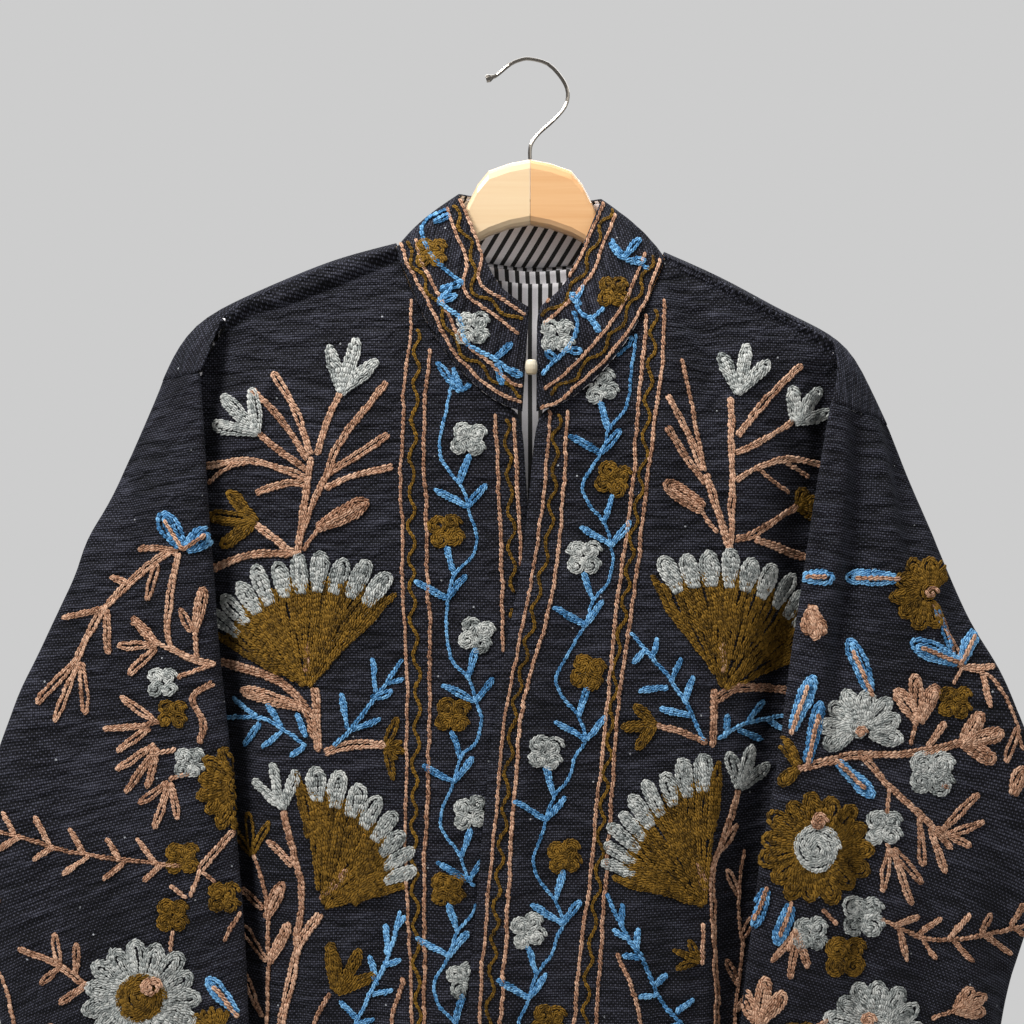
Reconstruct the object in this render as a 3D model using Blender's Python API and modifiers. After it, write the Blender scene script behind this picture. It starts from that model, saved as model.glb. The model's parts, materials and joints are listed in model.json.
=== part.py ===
"""Suzani jacket hanging on a wooden hanger.

The jacket hangs nearly flat: +Z is up, the fronts face -Y and the wearer's left is +X.
The origin is the inner top of the hook, where a rail or a nail holds it.
Every size is in millimetres until a mesh is made.
"""

import math
from typing import NamedTuple

import bmesh
import bpy
from mathutils import Vector

MM = 0.001

WALL = 2.0
LINING_WALL = 1.0
SEAM = 0.4
TIP_GAP = 1.9
TIP_GAP_FROM_X, TIP_GAP_RUN = 195.0, 35.0
UNDER_GAP = 0.8
LINING_GAP = 0.3
COLLAR_LINING_GAP = 0.5

LEFT, RIGHT = 1, -1

HEM_Z = -887.0
SIDE_HALF = 264.0
HEM_HALF = 271.0
OPEN_SIDE = 120.0
ARMPIT_Z = {LEFT: -500.0, RIGHT: -484.0}
NECK_HALF = 107.0
SEAM_BELOW_RIDGE = 11.0
TIP_SHARE = 0.72
RIDGE_STEPS = 24
NECK_RIDGE_RISE = 0.33
CUFF_Z = -846.0
FOLD_OVERLAP = 9.0
FRONT_LAP = 3.2
SLEEVE_CLEAR = 3.5
FOLD_THICK = 9.0
ROLL_EDGE_DROP, ROLL_SWELL, CAP_SWELL = 6.0, 3.6, 7.0
LAP_TOP_Z, LAP_RUN, LAP_OUT_X, LAP_FADE = -312.0, 60.0, 60.0, 50.0
BACK_HEAD_IN, BACK_HEAD_DROP, BACK_HEAD_Y = 7.0, 22.0, 8.0
BACK_SEAM_CURVE = 16.0
ARMPIT_GAP = 2.5
FADE = 260.0

# Corners of the grids. A sleeve's section runs under its fold, over the front, and back along the rear.
UNDER, FACE, REAR = 6, 9, 7
CAP_RUNGS, ARM_RUNGS, SKIRT_RUNGS = 3, 8, 11
ROLL_DROPS = (0.0, 0.07, 0.2, 0.5, 1.0)
ROLL_RUNGS = 4
NECK_RUNGS = 8
FRONT_COLUMNS = 15
NECK_COLUMNS, SHOULDER_COLUMNS = 6, 11
COLLAR_ROWS = 4
LINING_COLUMNS, LINING_ROWS = 10, 9


class Shoulder(NamedTuple):
    """A place on the top line, from the neck point (share 0) to the sleeve head (share 1)."""

    share: float
    left_x: float
    left_z: float
    right_x: float
    right_z: float


SHOULDER = (
    Shoulder(0.00, 107, -153, 107, -146),
    Shoulder(0.25, 152, -173, 152, -158),
    Shoulder(0.50, 200, -199, 198, -176),
    Shoulder(0.72, 240, -219, 240, -195),
    Shoulder(0.82, 257, -233, 264, -208),
    Shoulder(0.91, 272, -261, 282, -230),
    Shoulder(1.00, 286, -291, 294, -256),
)


class CapFold(NamedTuple):
    """Where the front's edge turns down past the hanger's tip, to the top of the sleeve's fold."""

    share: float
    left_x: float
    left_z: float
    right_x: float
    right_z: float


CAP_FOLD = (
    CapFold(0.72, 240, -230, 240, -206),
    CapFold(0.85, 246, -248, 252, -226),
    CapFold(1.00, 243, -275, 267, -252),
)


class SleeveRow(NamedTuple):
    """The sleeve's outer edge and the fold that lies over the front, at a height."""

    z: float
    left_out: float
    left_fold: float
    right_out: float
    right_fold: float


SLEEVE = (
    SleeveRow(-250, 268, 239, 292, 258),
    SleeveRow(-275, 278, 234, 300, 255),
    SleeveRow(-300, 291, 228, 311, 253),
    SleeveRow(-340, 305, 221, 331, 251),
    SleeveRow(-380, 323, 214, 349, 248),
    SleeveRow(-420, 340, 208, 368, 245),
    SleeveRow(-460, 358, 201, 387, 243),
    SleeveRow(-500, 380, 195, 405, 238),
    SleeveRow(-540, 399, 190, 422, 233),
    SleeveRow(-580, 410, 183, 435, 229),
    SleeveRow(-620, 413, 175, 441, 226),
    SleeveRow(-660, 407, 170, 441, 222),
    SleeveRow(-700, 395, 165, 437, 219),
    SleeveRow(-740, 382, 160, 429, 217),
    SleeveRow(-780, 375, 157, 420, 216),
    SleeveRow(-850, 368, 151, 406, 213),
)


class SleeveDepth(NamedTuple):
    """How deep the sleeve stands at a height: its outer edge, front swell and rear swell."""

    z: float
    out_y: float
    front: float
    rear: float


SLEEVE_DEPTH = (
    SleeveDepth(-250, 0, 7, 10),
    SleeveDepth(-300, 0, 9, 16),
    SleeveDepth(-400, -2, 13, 22),
    SleeveDepth(-500, -4, 14, 22),
    SleeveDepth(-620, -6, 14, 20),
    SleeveDepth(-850, -8, 13, 20),
)


class Depth(NamedTuple):
    """How far the body stands off the hanger's plane, at a drop below the top line."""

    below: float
    front: float
    back: float


DEPTH = (
    Depth(0, 0, 0),
    Depth(1.5, 6, 6),
    Depth(4, 10, 10),
    Depth(11, 13.5, 13),
    Depth(30, 19, 18),
    Depth(70, 28, 26),
    Depth(150, 37, 34),
    Depth(300, 43, 40),
    Depth(760, 46, 42),
)


class Neck(NamedTuple):
    """The neck seam and the collar's top edge, from centre front (share 0) to centre back."""

    share: float
    seam_x: float
    seam_z: float
    top_x: float
    top_y: float
    top_z: float


NECK = (
    Neck(0.00, 5, -283, 4, -35, -202),
    Neck(0.12, 24, -277, 20, -32, -190),
    Neck(0.25, 45, -261, 30, -28, -175),
    Neck(0.38, 68, -235, 38, -22, -157),
    Neck(0.50, 87, -203, 46, -16, -136),
    Neck(0.60, 99, -174, 53, -9, -118),
    Neck(0.67, 106, -161, 56, -4, -111),
    Neck(0.73, 107, -152, 57, 0, -108),
    Neck(0.84, 84, -158, 44, 17, -106),
    Neck(1.00, 0, -171, 0, 25, -106),
)
NECK_EDGE_SHARE = 0.12
NECK_SIDE_SHARE = 0.67
NECK_RIDGE_SHARE = 0.73
NECK_LEFT_DROP, TOP_LEFT_DROP = 7.0, 4.0
COLLAR_SWELL = 5.0
COLLAR_INSIDE = 0.988
LINED_LOW, LINED_HIGH, LINED_END = 0.12, 0.97, 0.015


class FrontEdge(NamedTuple):
    """The two fronts' edges: the right one runs under the left one from the chest down."""

    z: float
    left_x: float
    right_x: float


FRONT_EDGE = (
    FrontEdge(-202, 5.0, -1.0),
    FrontEdge(-283, 4.5, -6.5),
    FrontEdge(-345, -1.0, -3.0),
    FrontEdge(-409, -8.0, 1.0),
    FrontEdge(-500, -26.0, 4.0),
    FrontEdge(-757, -50.0, 8.0),
    FrontEdge(-890, -62.0, 10.0),
)


class Fold(NamedTuple):
    """A soft upright fold: a ridge where rise is above 0, a trough where it is below."""

    x: float
    lean: float
    top: float
    half: float
    rise: float


FRONT_FOLDS = (
    Fold(-190, -0.03, -330, 26, 4.0),
    Fold(-128, 0.02, -420, 22, -3.5),
    Fold(-72, 0.00, -520, 24, 3.0),
    Fold(70, -0.02, -470, 26, 3.0),
    Fold(132, -0.04, -380, 24, -3.5),
    Fold(180, -0.05, -330, 24, 4.0),
)
BACK_FOLDS = (
    Fold(-205, -0.04, -300, 26, 6.0),
    Fold(-150, -0.02, -360, 24, -5.0),
    Fold(-85, 0.00, -430, 28, 5.0),
    Fold(-15, 0.01, -520, 26, -4.0),
    Fold(60, 0.02, -460, 28, 5.0),
    Fold(125, 0.03, -340, 24, -5.0),
    Fold(190, 0.05, -290, 26, 6.0),
)

WIRE_HALF = 1.5


class HookPoint(NamedTuple):
    """A point of the hook's wire, from the ball to the block, and how many times the wire's width it is."""

    x: float
    z: float
    swell: float


HOOK = (
    HookPoint(-35.2, -14.6, 2.0),
    HookPoint(-32.6, -13.9, 2.2),
    HookPoint(-30.0, -13.0, 1.2),
    HookPoint(-26.4, -11.4, 1.0),
    HookPoint(-16.0, -3.0, 1.0),
    HookPoint(-8.0, 0.6, 1.0),
    HookPoint(0.0, 1.5, 1.0),
    HookPoint(14.4, -2.6, 1.0),
    HookPoint(25.6, -14.4, 1.0),
    HookPoint(30.2, -25.6, 1.0),
    HookPoint(28.0, -36.8, 1.0),
    HookPoint(18.4, -48.0, 1.0),
    HookPoint(7.6, -57.6, 1.0),
    HookPoint(1.8, -65.0, 1.0),
    HookPoint(0.0, -71.0, 1.0),
    HookPoint(0.0, -78.5, 1.0),
)
HOOK_STEPS = 3


class ArmStation(NamedTuple):
    """A section of a hanger arm: its middle height at the top and bottom, and half its thickness."""

    x: float
    top: float
    bottom: float
    half: float


ARM_BLOCK = (
    ArmStation(0.2, -79, -131, 9.5),
    ArmStation(16, -82, -134, 9.5),
    ArmStation(33, -88, -140, 9.5),
    ArmStation(42, -99, -145, 9.5),
    ArmStation(50, -115, -150, 9.5),
)
ARM_START, ARM_END, ARM_STEPS = 62.0, 237.0, 9
ARM_TALL_START, ARM_TALL_END = 36.0, 26.0
ARM_UNDER_RIDGE = 2.7
ARM_NECK_DROP = 4.0
ARM_NECK_X, ARM_NECK_RUN = 85.0, 55.0
ARM_TIP_SHARE, ARM_TIP_RUN, ARM_TIP_LEAST = 0.86, 0.16, 0.05
ARM_HALF = 9.0
# Across from the arm's middle and down from its top, then across and up from its foot.
ARM_TOP_ROUND = ((0.0, 0.0), (4.6, 1.6), (7.6, 4.2), (9.0, 8.5))
ARM_FOOT_ROUND = ((9.0, 5.0), (7.0, 1.8), (3.6, 0.0))

BEAD_Z, BEAD_X = -249.0, 0.5
BEAD_TALL, BEAD_HALF = 11.5, 4.8
BEAD_UP_COLLAR, BEAD_GAP = 0.42, 0.35
# Shares of the bead's half width and of its height, from its upper end to its lower one.
BEAD_PROFILE = ((0.0, 0.5), (0.62, 0.5), (0.86, 0.42), (1.0, 0.15))
BEAD_SIDES = 14


def smooth(share: float) -> float:
    share = min(max(share, 0.0), 1.0)
    return share * share * (3 - 2 * share)


def mix(a: float, b: float, share: float) -> float:
    return a + (b - a) * share


def read(table: tuple, at: float, column: str) -> float:
    """A column's value at a place in a table's first column, on a smooth curve with no overshoot."""
    key = [row[0] for row in table]
    value = [getattr(row, column) for row in table]
    if key[0] > key[-1]:
        key, value = key[::-1], value[::-1]
    if at <= key[0]:
        return value[0]
    if at >= key[-1]:
        return value[-1]
    slope = [(value[i + 1] - value[i]) / (key[i + 1] - key[i]) for i in range(len(key) - 1)]
    i = max(j for j in range(len(slope)) if key[j] <= at)
    tangent = []
    for j in (i, i + 1):
        before, after = slope[max(j - 1, 0)], slope[min(j, len(slope) - 1)]
        tangent.append(0.0 if before * after <= 0 else 2 * before * after / (before + after))
    width = key[i + 1] - key[i]
    t = (at - key[i]) / width
    start = (1 + 2 * t) * (1 - t) ** 2 * value[i] + t * (1 - t) ** 2 * width * tangent[0]
    return start + t * t * (3 - 2 * t) * value[i + 1] + t * t * (t - 1) * width * tangent[1]


def sided(table: tuple, at: float, side: int, column: str) -> float:
    return read(table, at, ("left_" if side == LEFT else "right_") + column)


def ridge_z(x: float) -> float:
    """Height of the top line over the hanger, inside the neck too, and past the hanger's tip."""
    side = LEFT if x >= 0 else RIGHT
    out = abs(x)
    shares = [i / RIDGE_STEPS for i in range(RIDGE_STEPS + 1)]
    points = [(sided(SHOULDER, share, side, "x"), sided(SHOULDER, share, side, "z")) for share in shares]
    if out <= points[0][0]:
        return points[0][1] + (points[0][0] - out) * NECK_RIDGE_RISE
    for (x0, z0), (x1, z1) in zip(points, points[1:]):
        if out <= x1:
            return mix(z0, z1, (out - x0) / (x1 - x0))
    return points[-1][1]


def half_width(z: float, side: int) -> float:
    """Where the body's front and back meet: the side seam below the armpit, further out above it."""
    armpit = ARMPIT_Z[side]
    if z <= armpit:
        return mix(SIDE_HALF, HEM_HALF, (armpit - z) / (armpit - HEM_Z))
    return SIDE_HALF + OPEN_SIDE * smooth((z - armpit) / FADE)


def folds(table: tuple, x: float, z: float) -> float:
    rise = 0.0
    for fold in table:
        drop = smooth((fold.top - z) / FADE)
        centre = fold.x + fold.lean * (z - fold.top)
        rise += fold.rise * drop * math.exp(-(((x - centre) / fold.half) ** 2))
    return rise


def body_y(x: float, z: float, face: str) -> float:
    """Depth of the body's outer face: front is -Y, back is +Y."""
    side = LEFT if x >= 0 else RIGHT
    share = min(abs(x) / half_width(z, side), 1.0)
    closing = math.sqrt(max(1 - share**3, 0.0))
    depth = read(DEPTH, max(ridge_z(x) - z, 0.0), face)
    if face == "front":
        return -(depth + folds(FRONT_FOLDS, x, z)) * closing
    return (depth + folds(BACK_FOLDS, x, z)) * closing


def neck_point(side: int, share: float) -> Vector:
    """A point of the neck seam, from the centre front round to the centre back."""
    x = side * read(NECK, share, "seam_x") if share < 1 else 0.0
    z = read(NECK, share, "seam_z")
    if side == LEFT:
        z -= NECK_LEFT_DROP * math.sin(math.pi * min(share / NECK_RIDGE_SHARE, 1) / 2) * abs(x) / NECK_HALF
    if share < NECK_EDGE_SHARE:
        edge = sided(FRONT_EDGE, z, side, "x")
        x = mix(edge, side * read(NECK, NECK_EDGE_SHARE, "seam_x"), share / NECK_EDGE_SHARE)
    y = body_y(x, min(z, ridge_z(x)), "front" if share <= NECK_RIDGE_SHARE else "back")
    return Vector((x, y, z))


def collar_top(side: int, share: float) -> Vector:
    x = side * read(NECK, share, "top_x") if share < 1 else 0.0
    z = read(NECK, share, "top_z")
    if side == LEFT:
        z -= TOP_LEFT_DROP * smooth(abs(x) / 50)
    if share < NECK_EDGE_SHARE:
        edge = sided(FRONT_EDGE, z, side, "x")
        x = mix(edge, side * read(NECK, NECK_EDGE_SHARE, "top_x"), share / NECK_EDGE_SHARE)
    return Vector((x, read(NECK, share, "top_y"), z))


def front_seam(side: int, t: float) -> Vector:
    """The armhole on the front, under the sleeve's fold, from the cap (t 0) to the armpit (t 1)."""
    top = sided(CAP_FOLD, 1.0, side, "z")
    z = mix(top, ARMPIT_Z[side], t)
    start = sided(SLEEVE, z, side, "fold") + FOLD_OVERLAP
    x = side * mix(start, SIDE_HALF, smooth(t))
    return Vector((x, body_y(x, z, "front"), z))


def back_seam(side: int, t: float) -> Vector:
    """The armhole on the back, from behind the sleeve head (t 0) to the armpit (t 1)."""
    head_x = sided(SHOULDER, 1.0, side, "x") - BACK_HEAD_IN
    z = mix(sided(SHOULDER, 1.0, side, "z") - BACK_HEAD_DROP, ARMPIT_Z[side], t)
    x = side * (mix(head_x, SIDE_HALF, smooth(t)) - BACK_SEAM_CURVE * math.sin(math.pi * t))
    return Vector((x, max(body_y(x, z, "back"), BACK_HEAD_Y * (1 - t)), z))


def head_back(side: int, f: float) -> Vector:
    """The sleeve head's seam behind the top line, from the line (f 0) to the back armhole (f 1)."""
    top, end = shoulder_top(side, 1.0), back_seam(side, 0)
    point = top.lerp(end, f)
    point.y = end.y * math.sin(math.pi * f / 2)
    return point


def shoulder_top(side: int, share: float) -> Vector:
    return Vector((side * sided(SHOULDER, share, side, "x"), 0, sided(SHOULDER, share, side, "z")))


def edge_y(side: int, x: float, z: float) -> float:
    return body_y(x, z, "front") - SLEEVE_CLEAR - FOLD_THICK


def lip(start: Vector, edge: Vector, outer: Vector, swell: float, clear: float, place: int) -> Vector:
    """One point of a section that runs under a fold, round its edge and out to the outer line."""
    if place <= UNDER:
        away = (1 + math.cos(math.pi * place / UNDER)) / 2
        point = edge.lerp(start, away)
        start_clear = body_y(start.x, start.z, "front") - start.y
        turn = 1 - math.sqrt(1 - (1 - away) ** 6)
        edge_near = body_y(edge.x, edge.z, "front") - clear
        point.y = body_y(point.x, point.z, "front") - mix(start_clear, clear, min((1 - away) * 6, 1))
        point.y += (edge.y - edge_near) * turn
        return point
    angle = math.pi * (place - UNDER) / FACE
    point = edge.lerp(outer, (1 - math.cos(angle)) / 2)
    point.y -= swell * max(math.sin(angle), 0.0) ** 0.6
    return point


def shoulder_lip(side: int, share: float, place: int) -> Vector:
    """The roll of cloth in front of the top line, which widens into the cap past the hanger's tip."""
    top = shoulder_top(side, share)
    past = smooth((share - TIP_SHARE) / (1 - TIP_SHARE))
    fold_x = side * sided(CAP_FOLD, share, side, "x") if share > TIP_SHARE else top.x
    fold_z = sided(CAP_FOLD, share, side, "z") if share > TIP_SHARE else top.z - SEAM_BELOW_RIDGE
    start = Vector((fold_x, body_y(fold_x, fold_z, "front"), fold_z))
    edge = Vector((fold_x - side * FOLD_OVERLAP * past, 0, mix(top.z - ROLL_EDGE_DROP, fold_z, past)))
    edge.y = mix(body_y(edge.x, edge.z, "front"), edge_y(side, edge.x, edge.z), past)
    start.y -= UNDER_GAP * past
    start.z += SEAM * (1 - past)
    return lip(start, edge, top, mix(ROLL_SWELL, CAP_SWELL, past), SLEEVE_CLEAR * past, place)


def body_front(side: int, u: float, rung: float) -> Vector:
    """A point of a front: u runs from its edge out to the armhole, rung from the shoulder to the hem."""
    if rung <= NECK_RUNGS:
        inner = neck_point(side, NECK_SIDE_SHARE * (1 - rung / NECK_RUNGS))
    else:
        rest = (rung - NECK_RUNGS) / (CAP_RUNGS + ARM_RUNGS + SKIRT_RUNGS - NECK_RUNGS)
        z = mix(read(NECK, 0, "seam_z"), HEM_Z, rest)
        inner = Vector((sided(FRONT_EDGE, z, side, "x"), 0, z))
    if rung <= CAP_RUNGS:
        share = mix(TIP_SHARE, 1.0, rung / CAP_RUNGS)
        outer = Vector((side * sided(CAP_FOLD, share, side, "x"), 0, sided(CAP_FOLD, share, side, "z")))
    elif rung <= CAP_RUNGS + ARM_RUNGS:
        outer = front_seam(side, (rung - CAP_RUNGS) / ARM_RUNGS)
    else:
        z = mix(ARMPIT_Z[side], HEM_Z, (rung - CAP_RUNGS - ARM_RUNGS) / SKIRT_RUNGS)
        outer = Vector((side * half_width(z, side), 0, z))
    out = 1 - (1 - u) ** 1.8
    x = mix(inner.x, outer.x - side * (2 * SEAM if rung <= CAP_RUNGS else SEAM), out)
    z = mix(inner.z, outer.z, out)
    past = smooth((abs(x) - TIP_GAP_FROM_X) / TIP_GAP_RUN)
    along_seam = ridge_z(x) - SEAM_BELOW_RIDGE - mix(SEAM, TIP_GAP, past)
    z = mix(z, min(z, along_seam) if rung > 0 else along_seam, 1 - min(rung / 4, 1))
    y = body_y(x, z, "front")
    if rung >= CAP_RUNGS + ARM_RUNGS:
        y = min(y, -SEAM / 2)
    if side == LEFT:
        y -= FRONT_LAP * smooth((LAP_TOP_Z - z) / LAP_RUN) * smooth((LAP_OUT_X - x) / LAP_FADE)
    return Vector((x, y, z))


def shoulder_share(step: int) -> float:
    """Share of the shoulder at one of its columns, closer together towards the sleeve head."""
    return 1 - (1 - step / SHOULDER_COLUMNS) ** 1.4


def body_back(column: int, rung: int) -> Vector:
    """A point of the back: columns run from the right edge to the left, rungs from the top to the hem."""
    step = column - NECK_COLUMNS - SHOULDER_COLUMNS
    side = LEFT if step >= 0 else RIGHT
    step = abs(step)
    head = shoulder_top(side, 1.0)
    if step < NECK_COLUMNS:
        top = neck_point(side, mix(1.0, NECK_RIDGE_SHARE, step / NECK_COLUMNS))
    else:
        top = shoulder_top(side, shoulder_share(step - NECK_COLUMNS))
    if rung == 0:
        return top
    if rung <= ROLL_RUNGS:
        outer = head_back(side, ROLL_DROPS[rung])
    elif rung <= ROLL_RUNGS + ARM_RUNGS:
        outer = back_seam(side, (rung - ROLL_RUNGS) / ARM_RUNGS)
    else:
        z = mix(ARMPIT_Z[side], HEM_Z, (rung - ROLL_RUNGS - ARM_RUNGS) / SKIRT_RUNGS)
        outer = Vector((side * half_width(z, side), 0, z))
    down = (outer.z - head.z) / (HEM_Z - head.z)
    x = top.x * (outer.x - side * SEAM) / head.x
    z = mix(top.z, HEM_Z, down)
    if step == NECK_COLUMNS + SHOULDER_COLUMNS and rung <= ROLL_RUNGS + ARM_RUNGS:
        return Vector((x, max(outer.y, SEAM / 2), z))
    return Vector((x, max(body_y(x, z, "back"), SEAM / 2), z))


def sleeve(side: int, place: int, rung: int) -> Vector:
    """A point of a sleeve's section: under the fold, over the front, out, and back along the rear."""
    open_row = rung <= ARM_RUNGS
    if open_row:
        t = rung / ARM_RUNGS
        start, end = front_seam(side, t), back_seam(side, t)
        z, out_z = start.z, mix(sided(SHOULDER, 1.0, side, "z"), ARMPIT_Z[side], t)
        start.x += side * mix(SEAM, ARMPIT_GAP, t**4)
        start.y -= mix(UNDER_GAP, ARMPIT_GAP, t**4)
        end += Vector((side * SEAM, 0, -SEAM * (1 - t)))
    else:
        z = out_z = mix(ARMPIT_Z[side], CUFF_Z, (rung - ARM_RUNGS) / SKIRT_RUNGS)
        start = end = Vector((side * (half_width(z, side) + SLEEVE_CLEAR), -SLEEVE_CLEAR, z))
    edge = Vector((side * sided(SLEEVE, z, side, "fold"), 0, z))
    edge.y = edge_y(side, edge.x, edge.z)
    outer = Vector((side * sided(SLEEVE, out_z, side, "out"), read(SLEEVE_DEPTH, out_z, "out_y"), out_z))
    if place <= UNDER + FACE:
        point = lip(start, edge, outer, read(SLEEVE_DEPTH, z, "front"), SLEEVE_CLEAR, place)
        head = shoulder_lip(side, 1.0, place)
        head.z -= 2 * SEAM
        return point.lerp(head, (1 - smooth(rung / 3)) if rung < 3 else 0.0)
    back = (place - UNDER - FACE) / REAR
    if rung == 0:
        return head_back(side, back) + Vector((side * SEAM, SEAM, -2 * SEAM))
    point = outer.lerp(end, 1 - math.cos(math.pi * back / 2))
    point.z = mix(outer.z, end.z, back)
    swell = read(SLEEVE_DEPTH, out_z, "rear") * (smooth(rung / 3) if rung < 3 else 1.0)
    point.y += swell * max(math.sin(math.pi * back), 0.0) ** 0.7
    return point


def neck_shares() -> list[float]:
    """Neck places shared by the fronts' rungs, the back's columns and the collar."""
    front = [NECK_SIDE_SHARE * step / NECK_RUNGS for step in range(NECK_RUNGS + 1)]
    back = [mix(NECK_RIDGE_SHARE, 1.0, step / NECK_COLUMNS) for step in range(NECK_COLUMNS + 1)]
    return front + back


def neck_outward(share: float) -> Vector:
    """Which way the body's cloth faces at the neck seam: forward, up over the shoulder, then back."""
    if share < NECK_RIDGE_SHARE:
        turn = smooth((share - 0.45) / (NECK_RIDGE_SHARE - 0.45)) * math.pi / 2
        return Vector((0, -math.cos(turn), math.sin(turn)))
    turn = smooth((0.88 - share) / (0.88 - NECK_RIDGE_SHARE)) * math.pi / 2
    return Vector((0, math.cos(turn), math.sin(turn)))


def collar_point(side: int, share: float, up: float) -> Vector:
    """A point of the collar over a place of the neck seam: up runs from the seam to the top edge."""
    low = neck_point(side, share) + neck_outward(share) * (WALL + SEAM)
    low.x *= COLLAR_INSIDE
    top = collar_top(side, share)
    point = low.lerp(top, up)
    outward = Vector((point.x, point.y * 2.5, 0)).normalized()
    return point + outward * (COLLAR_SWELL * math.sin(math.pi * up) * min(share / 0.3, 1))


def collar(column: int, row: int, low: float = 0.0, high: float = 1.0, end: float = 0.0) -> Vector:
    """A corner of the collar's grid, from the right front edge round the back to the left."""
    shares = neck_shares()
    middle = len(shares) - 1
    side = RIGHT if column < middle else LEFT
    share = max(shares[middle - abs(column - middle)], end)
    return collar_point(side, share, mix(high, low, row / COLLAR_ROWS))


def material(name: str, red: float, green: float, blue: float, rough: float, metal: float = 0.0):
    made = bpy.data.materials.new(name)
    made.use_nodes = True
    shader = made.node_tree.nodes["Principled BSDF"]
    shader.inputs["Base Color"].default_value = (red, green, blue, 1)
    shader.inputs["Roughness"].default_value = rough
    shader.inputs["Metallic"].default_value = metal
    made.diffuse_color = (red, green, blue, 1)
    return made


def add_object(name: str, data, finish) -> bpy.types.Object:
    obj = bpy.data.objects.new(name, data)
    data.materials.append(finish)
    bpy.data.collections["Suzani jacket"].objects.link(obj)
    return obj


def grid(bm: bmesh.types.BMesh, across: int, down: int, place) -> None:
    """Adds a grid of faces, each corner put where place(column, row) says, in millimetres."""
    made = bmesh.ops.create_grid(bm, x_segments=across, y_segments=down, size=1.0)
    for vert in made["verts"]:
        column = round((vert.co.x + 1) / 2 * across)
        row = round((1 - vert.co.y) / 2 * down)
        vert.co = place(column, row) * MM


def cloth(name: str, patches: list, finish, wall: float = WALL, inside_out: bool = False):
    """A wall of cloth: grids merged into one outer face, thickened inwards."""
    bm = bmesh.new()
    for across, down, place in patches:
        grid(bm, across, down, place)
    bmesh.ops.remove_doubles(bm, verts=bm.verts, dist=0.05 * MM)
    if inside_out:
        bmesh.ops.reverse_faces(bm, faces=bm.faces)
    mesh = bpy.data.meshes.new(name)
    bm.to_mesh(mesh)
    bm.free()
    mesh.shade_smooth()
    obj = add_object(name, mesh, finish)
    thick = obj.modifiers.new("Cloth wall", "SOLIDIFY")
    thick.thickness = wall * MM
    thick.offset = -1.0
    return obj


def make_fronts(finish) -> None:
    rungs = CAP_RUNGS + ARM_RUNGS + SKIRT_RUNGS
    for side, name in ((LEFT, "front_left"), (RIGHT, "front_right")):
        place = lambda column, row, side=side: body_front(side, column / FRONT_COLUMNS, row)
        cloth(name, [(FRONT_COLUMNS, rungs, place)], finish, inside_out=side == RIGHT)


def make_back(finish) -> None:
    columns = 2 * (NECK_COLUMNS + SHOULDER_COLUMNS)
    patches = [(columns, ROLL_RUNGS + ARM_RUNGS + SKIRT_RUNGS, body_back)]
    for side in (LEFT, RIGHT):

        def roll(column: int, row: int, side=side) -> Vector:
            step = column if side == LEFT else SHOULDER_COLUMNS - column
            return shoulder_lip(side, shoulder_share(step), row)

        patches.append((SHOULDER_COLUMNS, UNDER + FACE, roll))
    obj = cloth("back", patches, finish)
    fix_outward(obj, Vector((0, 1, 0)))


def fix_outward(obj: bpy.types.Object, outward: Vector) -> None:
    """Turns the merged faces to agree with each other, and out along a direction at the middle."""
    bm = bmesh.new()
    bm.from_mesh(obj.data)
    bmesh.ops.recalc_face_normals(bm, faces=bm.faces)
    low = min(bm.faces, key=lambda face: (face.calc_center_median() - Vector((0, 0, HEM_Z * MM))).length)
    if low.normal.dot(outward) < 0:
        bmesh.ops.reverse_faces(bm, faces=bm.faces)
    bm.to_mesh(obj.data)
    bm.free()


def make_sleeves(finish) -> None:
    for side, name in ((LEFT, "sleeve_left"), (RIGHT, "sleeve_right")):
        place = lambda column, row, side=side: sleeve(side, column, row)
        cloth(name, [(UNDER + FACE + REAR, ARM_RUNGS + SKIRT_RUNGS, place)], finish, inside_out=side == RIGHT)


def moved_in(place, columns: int, rows: int, distance: float):
    """The same grid, each corner moved inwards by a distance, square to its neighbours."""

    def inner(column: int, row: int) -> Vector:
        along = place(min(column + 1, columns), row) - place(max(column - 1, 0), row)
        rise = place(column, max(row - 1, 0)) - place(column, min(row + 1, rows))
        return place(column, row) + along.cross(rise).normalized() * distance

    return inner


def make_collar(finish, lining) -> None:
    columns = 2 * (len(neck_shares()) - 1)
    cloth("collar", [(columns, COLLAR_ROWS, collar)], finish)
    lined = lambda column, row: collar(column, row, LINED_LOW, LINED_HIGH, LINED_END)
    inner = moved_in(lined, columns, COLLAR_ROWS, WALL + COLLAR_LINING_GAP)
    cloth("collar_lining", [(columns, COLLAR_ROWS, inner)], lining, wall=LINING_WALL)


def make_back_lining(finish) -> None:
    """The striped lining inside the back, from the neck seam to below where the fronts close."""
    columns = 2 * (NECK_COLUMNS + SHOULDER_COLUMNS)
    rows = ROLL_RUNGS + ARM_RUNGS + SKIRT_RUNGS
    first = SHOULDER_COLUMNS + NECK_COLUMNS - LINING_COLUMNS // 2
    inner = moved_in(body_back, columns, rows, WALL + LINING_GAP)
    place = lambda column, row: inner(first + column, row + 2)
    cloth("back_lining", [(LINING_COLUMNS, LINING_ROWS, place)], finish, LINING_WALL, inside_out=True)


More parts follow.
